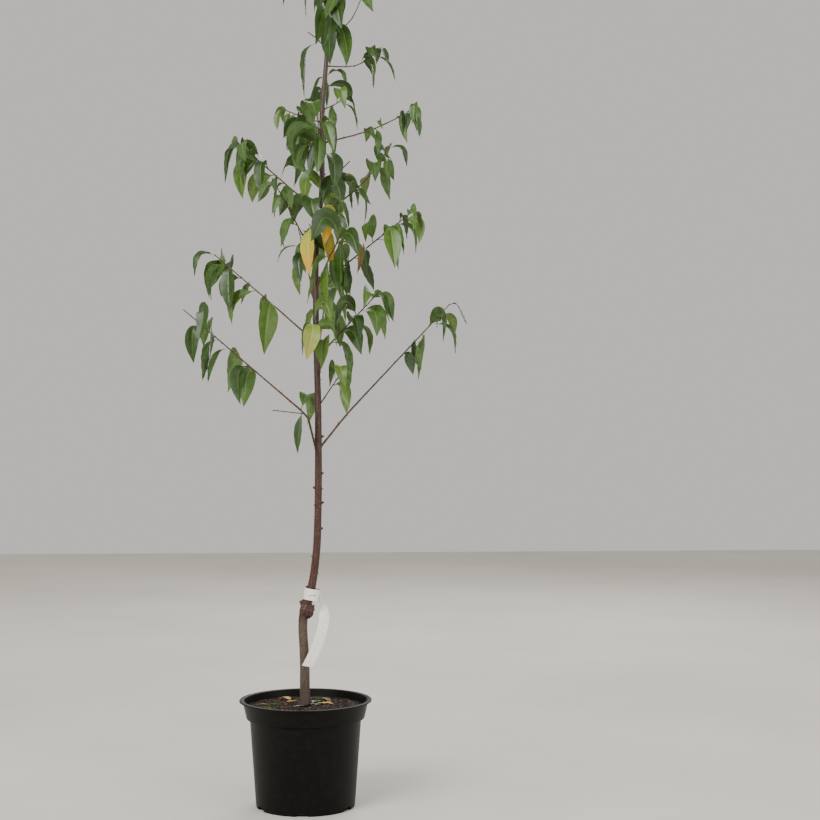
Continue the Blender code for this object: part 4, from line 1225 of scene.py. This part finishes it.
def build_trunk(settings):
    """Wrap the bark round the trunk, with the graft's swelling, the sawn stub and buds."""
    bm = bmesh.new()
    low, high = TRUNK[0].height, TRUNK[-1].height
    count = round((high - low) / settings.bark_step)
    spots = [trunk_at(low + (high - low) * step / count) for step in range(count + 1)]
    radii = [spot[1] / 2.0 for spot in spots]
    add_tube(bm, [spot[0] for spot in spots], radii, TRUNK_SIDES, trunk_relief)
    add_swelling(bm)
    lean = heading(180.0, 90.0 - STUB_LEAN)
    steps = range(STUB_STEPS + 1)
    points = [GRAFT_CENTRE + lean * (STUB_LENGTH * step / STUB_STEPS) for step in steps]
    radii = [
        STUB_RADIUS * (STUB_TAPER - (STUB_TAPER - 1.0) * step / STUB_STEPS) for step in steps
    ]
    radii[-1] *= 0.93
    add_tube(bm, points, radii, STUB_SIDES, trunk_relief)
    points = [Vector(point) for point in GRAFT_LOBE]
    steps = range(LOBE_STEPS + 1)
    points = [smooth_course(points, step / LOBE_STEPS)[0] for step in steps]
    add_tube(bm, points, [0.0042 - 0.0024 * step / LOBE_STEPS for step in steps], LOBE_SIDES)
    draw = random.Random(TRUNK_BUD_SEED)
    height, turn = LOWEST_TRUNK_BUD, 20.0
    while height < high - 0.03:
        centre, diameter = trunk_at(height)
        place = centre + heading(turn, 0.0) * (diameter / 2.0)
        add_bud(bm, place, heading(turn, 40.0), draw.uniform(0.0040, 0.0062))
        height += draw.uniform(0.024, 0.040)
        turn += TURN_BETWEEN_LEAVES
    for height, turn, length in TRUNK_KNOBS:
        centre, diameter = trunk_at(height)
        start = centre + heading(turn, 0.0) * (diameter / 2.0 - 0.002)
        points = [start + heading(turn, 25.0) * (length * step / 4) for step in range(5)]
        add_tube(bm, points, KNOB_RADII, BOUGH_SIDES)
    add_piece("bark", bm, [bark_finish(), grained(TRUNK_SCALES)], ["trunk"])


def build_label():
    """Make the blank loop label: a band round the trunk, the painted shadow of the tail's slot, and
    the bowed tail.
    """
    bm = bmesh.new()
    band = bmesh.new()
    bmesh.ops.create_cone(
        band, segments=72, radius1=LABEL_RADIUS, radius2=LABEL_RADIUS, depth=LABEL_BAND,
        cap_ends=False,
    )
    thicken(band, LABEL_THICKNESS / 2.0)
    lean = Matrix.Rotation(math.radians(LABEL_LEAN), 3, "Y")
    bmesh.ops.rotate(band, cent=(0, 0, 0), matrix=lean, verts=band.verts)
    bmesh.ops.translate(band, vec=LABEL_CENTRE, verts=band.verts)
    add_to(bm, band, 0)
    tail = bmesh.new()
    bmesh.ops.create_grid(tail, x_segments=60, y_segments=6, size=1.0)
    for vertex in tail.verts:
        share = (vertex.co.x + 1.0) / 2.0
        point, way = smooth_course(LABEL_TAIL, share)
        level = way.cross(Vector((0.0, 1.0, 0.0))).normalized()
        twist = math.radians(90.0 * (1.0 - ease(share / LABEL_TWIST_SHARE)))
        side = Matrix.Rotation(twist, 3, way) @ level
        wide = LABEL_TAIL_WIDTH / 2.0 * (0.55 + 0.45 * ease(share / 0.2))
        slanted = way * (-LABEL_END_SLANT * vertex.co.y * ease((share - 0.9) / 0.1))
        vertex.co = point + side * (vertex.co.y * wide) + slanted
    thicken(tail, LABEL_THICKNESS / 2.0)
    add_to(bm, tail, 0)
    # A thin dark box on the band's front: the painted shadow in the slot that the tail goes through
    slot = bmesh.new()
    bmesh.ops.create_cube(slot, size=1.0)
    place = LABEL_CENTRE + Vector((0.0, -LABEL_RADIUS - 0.0001, -0.001))
    add_shaped(bm, slot, Matrix.Translation(place) @ Matrix.Diagonal((*LABEL_SLOT_SHADOW, 1.0)), 1)
    finishes = [grained(LABEL_FILM), grained(SLOT_SHADOW)]
    keep_edges_sharp(add_piece("loop_label", bm, finishes, ["label"]))


def leaf_frame(leaf, share):
    """Give the point, direction and normal at a share of a leaf's length, smoothly along it."""
    point = leaf_at(leaf, share)[0]
    place = min(max(share * LEAF_STEPS - 0.5, 0.0), LEAF_STEPS - 1.0)
    index = int(place)
    way = leaf.directions[index].lerp(leaf.directions[index + 1], place - index).normalized()
    normal = leaf.normals[index].lerp(leaf.normals[index + 1], place - index)
    return point, way, (normal - way * normal.dot(way)).normalized()


def leaf_bend(leaf, share):
    """Give how fast a leaf turns at a share of its length: one over the bend's radius."""
    behind = leaf_frame(leaf, max(share - BEND_SPAN, 0.0))[1]
    ahead = leaf_frame(leaf, min(share + BEND_SPAN, 1.0))[1]
    return (ahead - behind) / (2.0 * BEND_SPAN * leaf.length)


def half_width(leaf, share):
    """Give half a blade's width at a share of the leaf's length, and how far it has opened."""
    if share <= PETIOLE_SHARE:
        return LEAF_ROOT_RADIUS, 0.0
    run = (share - PETIOLE_SHARE) / (1.0 - PETIOLE_SHARE)
    outline = max(math.sin(math.pi * run ** BLADE_SKEW), 0.0) ** BLADE_TAPER
    half = max(leaf.width / 2.0 * outline, LEAF_ROOT_RADIUS * (1.0 - run) + TIP_HALF_WIDTH)
    return half, ease(run / OPENING_SHARE)


def add_leaf(bm, leaf, tint, stations, columns):
    """Lay a grid on a leaf's course as a folded, slightly wavy blade on its petiole."""
    blade = bmesh.new()
    unrolled = blade.loops.layers.uv.new("leaf")
    bmesh.ops.create_grid(blade, x_segments=stations, y_segments=columns, size=1.0)
    for face in blade.faces:
        for corner in face.loops:
            spot = corner.vert.co
            corner[unrolled].uv = ((spot.y + 1.0) / 2.0, (spot.x + 1.0) / 2.0)
    fold = math.radians(leaf.fold)
    wave = random.Random(round(leaf.length * 1e6))
    phase, swing = wave.uniform(0.0, RIPPLE_PHASES), wave.uniform(0.3, 1.0)
    for vertex in blade.verts:
        share = (vertex.co.x + 1.0) / 2.0
        aside = vertex.co.y
        point, way, normal = leaf_frame(leaf, share)
        side = normal.cross(way)
        half, opened = half_width(leaf, share)
        turning = leaf_bend(leaf, share).dot(side * math.copysign(1.0, -aside))
        if turning > 0.0:
            half = min(half, BEND_ROOM / turning)
        away = abs(aside)
        rolled = fold * opened * (1.0 - EDGE_UNROLL * away)
        beat = math.sin(RIPPLE_RATE * share + phase + RIPPLE_SLANT * aside)
        ripple = LEAF_RIPPLE * leaf.length * swing * opened * away * away * beat
        vertex.co = (
            point - side * (math.copysign(half * away * math.cos(rolled), aside))
            + normal * (half * away * math.sin(rolled) + ripple)
        )
    blade.normal_update()
    bmesh.ops.solidify(blade, geom=blade.faces[:], thickness=LEAF_FILM)
    bmesh.ops.recalc_face_normals(blade, faces=blade.faces)
    for edge in blade.edges:
        edge.smooth = edge.calc_face_angle(0.0) < SHARP_FOLD
    for face in blade.faces:
        along = sum(corner[unrolled].uv.y for corner in face.loops) / len(face.loops)
        normal = leaf_frame(leaf, along)[2]
        face.material_index = 2 * tint + (1 if face.normal.dot(normal) < 0.0 else 0)
    add_to(bm, blade)


def tint_of(shoot, draw):
    """Deal a leaf its tint: mostly greens, some paler low in front, yellow on one spur."""
    if shoot.name in YELLOW_SHOOTS:
        return YELLOW_TINT
    if shoot.name in PALE_SHOOTS and draw.random() < PALE_SHARE:
        return PALE_TINT
    chance = draw.random()
    return next(tint for tint, limit in TINT_LIMITS if chance < limit)


def build_leaves(settings):
    """Grow every leaf of the plant as a detailed blade, each with one of a few autumn tints."""
    plant = grow_plant()[0]
    bm = bmesh.new()
    bm.loops.layers.uv.new("leaf")
    draw = random.Random(TINT_SEED)
    for shoot in (*SHOOTS, LEADER):
        for leaf in plant.leaves[shoot.name]:
            tint = tint_of(shoot, draw)
            add_leaf(bm, leaf, tint, settings.leaf_stations, settings.leaf_columns)
    add_piece("foliage", bm, leaf_finishes(TINTS, 0.40, 0.58), nodes_of("leaves_"))


def build_litter():
    """Lay a few fallen leaves on the compost."""
    bm = bmesh.new()
    bm.loops.layers.uv.new("leaf")
    for x, y, turn, length, width, tint, seed in LITTER:
        draw = random.Random(seed)
        way = heading(turn, 0.0)
        level = way.cross(UP)
        points, normals = [], []
        for step in range(LEAF_STEPS + 1):
            run = step / LEAF_STEPS - 0.5
            bow = LITTER_BOW * length * (4.0 * run * run - 1.0)
            place = Vector((x, y, 0.0)) + way * (run * length) + level * bow
            place.z = soil_height(place.x, place.y) + LITTER_LIFT
            points.append(place)
            tilt = draw.uniform(-LITTER_TILT, LITTER_TILT)
            normals.append((UP + level * tilt).normalized())
        leaf = Leaf(points, [way] * len(points), normals, length, width, LITTER_FOLD)
        add_leaf(bm, leaf, tint, LITTER_STATIONS, LITTER_COLUMNS)
    add_piece("fallen_leaves", bm, leaf_finishes(LITTER_TINTS, 0.60, 0.65))


def add_spur(bm, start, end):
    """Add a spur with its buds."""
    steps = range(SPUR_STEPS + 1)
    points = [start.lerp(end, step / SPUR_STEPS) for step in steps]
    radii = [
        (SPUR_FOOT * (1.0 - step / SPUR_STEPS) + TWIG_TIP * step / SPUR_STEPS) / 2.0
        for step in steps
    ]
    add_tube(bm, points, radii, TWIG_SIDES, wood_relief)
    way = (end - start).normalized()
    for step in (3, 5, 7):
        side = across(way, step * TURN_BETWEEN_LEAVES)
        add_bud(bm, points[step] + side * radii[step], (way + side).normalized(), 0.0040)
    add_bud(bm, end, way, 0.0070)


def build_twigs(settings):
    """Wrap the wood of every shoot, with its spurs, its nodes and its buds."""
    plant, courses = grow_plant()
    boughs, twigs = bmesh.new(), bmesh.new()
    draw = random.Random(TWIG_BUD_SEED)
    for shoot in (*SHOOTS, LEADER):
        course = courses[shoot.name]
        count = max(8, round(shoot.length / settings.twig_step))
        runs = [shoot.length * step / count for step in range(count + 1)]
        points = [course_at(course, run)[0] for run in runs]
        rounded = [points[0]] + [
            (a + b * 2.0 + c) / 4.0 for a, b, c in zip(points, points[1:], points[2:])
        ] + [points[-1]]
        radii = []
        for run in runs:
            node = math.cos(2.0 * math.pi * run / NODE_SPACING)
            swell = 1.0 + 0.10 * max(node, 0.0) ** 6
            collar = 1.0 + 0.5 * (1.0 - ease(run / COLLAR_RUN))
            radii.append(shoot_radius(shoot, run) * swell * collar)
        split = sum(1 for run in runs if run <= shoot.bough)
        if shoot.bough:
            add_tube(boughs, rounded[:split + 1], radii[:split + 1], BOUGH_SIDES, wood_relief)
        if shoot.bough < shoot.length:
            first = max(split - 1, 0) if shoot.bough else 0
            add_tube(twigs, rounded[first:], radii[first:], TWIG_SIDES, wood_relief)
        turn = draw.uniform(0.0, 360.0)
        run = NODE_SPACING
        while run < shoot.length - 0.004:
            point, way = course_at(course, run)
            side = across(way, turn)
            place = point + side * shoot_radius(shoot, run)
            length = draw.uniform(0.0026, 0.0044)
            target = boughs if run < shoot.bough else twigs
            add_bud(target, place, (way + side * 0.9).normalized(), length)
            turn += TURN_BETWEEN_LEAVES
            run += NODE_SPACING * draw.uniform(0.8, 1.15)
        tip, way = course_at(course, shoot.length)
        add_bud(boughs if shoot.bough == shoot.length else twigs, tip, way, 0.0062)
        for start, end in plant.spurs[shoot.name]:
            add_spur(twigs, start, end)
    finishes = [grained(TWIG_BARK, TWIG_STREAKS), grained(TWIG_SCALES)]
    add_piece("bough_wood", boughs, finishes, nodes_of("bough_"))
    add_piece("twig_wood", twigs, finishes)


def build_stage(settings):
    """Lay the pale floor, hang the soft lights and set the camera as the photograph has it."""
    bm = bmesh.new()
    bmesh.ops.create_grid(bm, x_segments=1, y_segments=1, size=FLOOR_HALF)
    floor = link("floor", mesh_from(bm, "floor"))
    floor.data.materials.append(grained(STUDIO_FLOOR))
    world = bpy.data.worlds.new("Studio")
    world.use_nodes = True
    sky = world.node_tree.nodes["Background"]
    sky.inputs["Color"].default_value = SKY
    sky.inputs["Strength"].default_value = settings.ambient
    bpy.context.scene.world = world
    for name, place, size, power in LIGHTS:
        light = bpy.data.lights.new(name, "AREA")
        light.shape = "RECTANGLE"
        light.size, light.size_y = size
        light.energy = power
        lamp = link(name, light)
        lamp.location = place
        lamp.rotation_euler = (LIT_SPOT - Vector(place)).to_track_quat("-Z", "Y").to_euler()
    camera = bpy.data.cameras.new("camera")
    camera.lens = settings.lens
    camera.sensor_width = CAMERA_SENSOR
    viewer = link("camera", camera)
    viewer.location = CAMERA_PLACE
    viewer.rotation_euler = (
        math.radians(90.0 - CAMERA_DIP), 0.0, math.radians(-CAMERA_TURN)
    )
    bpy.context.scene.camera = viewer


# Panel, settings and operators
class AlmondSettings(bpy.types.PropertyGroup):
    """Sizes and counts that a user would change."""

    pot_steps: bpy.props.IntProperty(
        name="Pot steps", description="Steps round the pot", default=144, min=24,
    )
    crumbs: bpy.props.IntProperty(
        name="Crumbs", description="Crumbs and chips on the compost", default=1900, min=0,
    )
    bark_step: bpy.props.FloatProperty(
        name="Bark step", description="Distance between the trunk's rings", default=0.004,
        min=0.001, unit="LENGTH", precision=4,
    )
    twig_step: bpy.props.FloatProperty(
        name="Twig step", description="Distance between a twig's rings", default=0.004,
        min=0.001, unit="LENGTH", precision=4,
    )
    leaf_stations: bpy.props.IntProperty(
        name="Leaf stations", description="Faces along a leaf", default=20, min=6,
    )
    leaf_columns: bpy.props.IntProperty(
        name="Leaf columns", description="Faces across a leaf", default=8, min=2,
    )
    ambient: bpy.props.FloatProperty(
        name="Ambient light", description="Strength of the light from all round",
        default=0.75, min=0.0,
    )
    lens: bpy.props.FloatProperty(
        name="Lens", description="The camera's focal length in mm", default=74.54, min=10.0,
    )


class ALMOND_OT_pot(bpy.types.Operator):
    """Build the nursery pot"""

    bl_idname = "almond.pot"
    bl_label = "Pot"

    def execute(self, context):
        build_pot(context.scene.almond)
        return {"FINISHED"}


class ALMOND_OT_compost(bpy.types.Operator):
    """Build the compost with its crumbs, chips and moss"""

    bl_idname = "almond.compost"
    bl_label = "Compost"

    def execute(self, context):
        build_compost(context.scene.almond)
        return {"FINISHED"}


class ALMOND_OT_trunk(bpy.types.Operator):
    """Build the trunk's bark, its graft and its buds"""

    bl_idname = "almond.trunk"
    bl_label = "Trunk"

    def execute(self, context):
        build_trunk(context.scene.almond)
        return {"FINISHED"}


class ALMOND_OT_twigs(bpy.types.Operator):
    """Build the boughs and twigs with their buds"""

    bl_idname = "almond.twigs"
    bl_label = "Boughs and twigs"

    def execute(self, context):
        build_twigs(context.scene.almond)
        return {"FINISHED"}


class ALMOND_OT_leaves(bpy.types.Operator):
    """Build the leaves on the twigs"""

    bl_idname = "almond.leaves"
    bl_label = "Leaves"

    def execute(self, context):
        build_leaves(context.scene.almond)
        return {"FINISHED"}


class ALMOND_OT_litter(bpy.types.Operator):
    """Lay the fallen leaves on the compost"""

    bl_idname = "almond.litter"
    bl_label = "Fallen leaves"

    def execute(self, context):
        build_litter()
        return {"FINISHED"}


class ALMOND_OT_label(bpy.types.Operator):
    """Build the blank loop label"""

    bl_idname = "almond.label"
    bl_label = "Label"

    def execute(self, context):
        build_label()
        return {"FINISHED"}


class ALMOND_OT_stage(bpy.types.Operator):
    """Set up the floor, the lights and the camera"""

    bl_idname = "almond.stage"
    bl_label = "Stage"

    def execute(self, context):
        build_stage(context.scene.almond)
        return {"FINISHED"}


OPERATORS = (
    ALMOND_OT_pot, ALMOND_OT_compost, ALMOND_OT_trunk, ALMOND_OT_twigs,
    ALMOND_OT_leaves, ALMOND_OT_litter, ALMOND_OT_label, ALMOND_OT_stage,
)


class ALMOND_PT_panel(bpy.types.Panel):
    """The almond tree's sizes and pieces, in the sidebar"""

    bl_idname = "ALMOND_PT_panel"
    bl_label = "Potted almond tree"
    bl_space_type = "VIEW_3D"
    bl_region_type = "UI"
    bl_category = "Almond tree"

    def draw(self, context):
        settings = context.scene.almond
        for name in settings.__annotations__:
            self.layout.prop(settings, name)
        for operator in OPERATORS:
            self.layout.operator(operator.bl_idname)


CLASSES = (AlmondSettings, *OPERATORS, ALMOND_PT_panel)


def register():
    """Register the classes and the scene's settings."""
    for item in CLASSES:
        bpy.utils.register_class(item)
    bpy.types.Scene.almond = bpy.props.PointerProperty(type=AlmondSettings)


def unregister():
    """Take the settings and the classes away again."""
    del bpy.types.Scene.almond
    for item in reversed(CLASSES):
        bpy.utils.unregister_class(item)


def main():
    """Build every piece in order."""
    register()
    for operator in OPERATORS:
        getattr(bpy.ops.almond, operator.bl_idname.split(".")[1])()


if __name__ == "__main__":
    main()
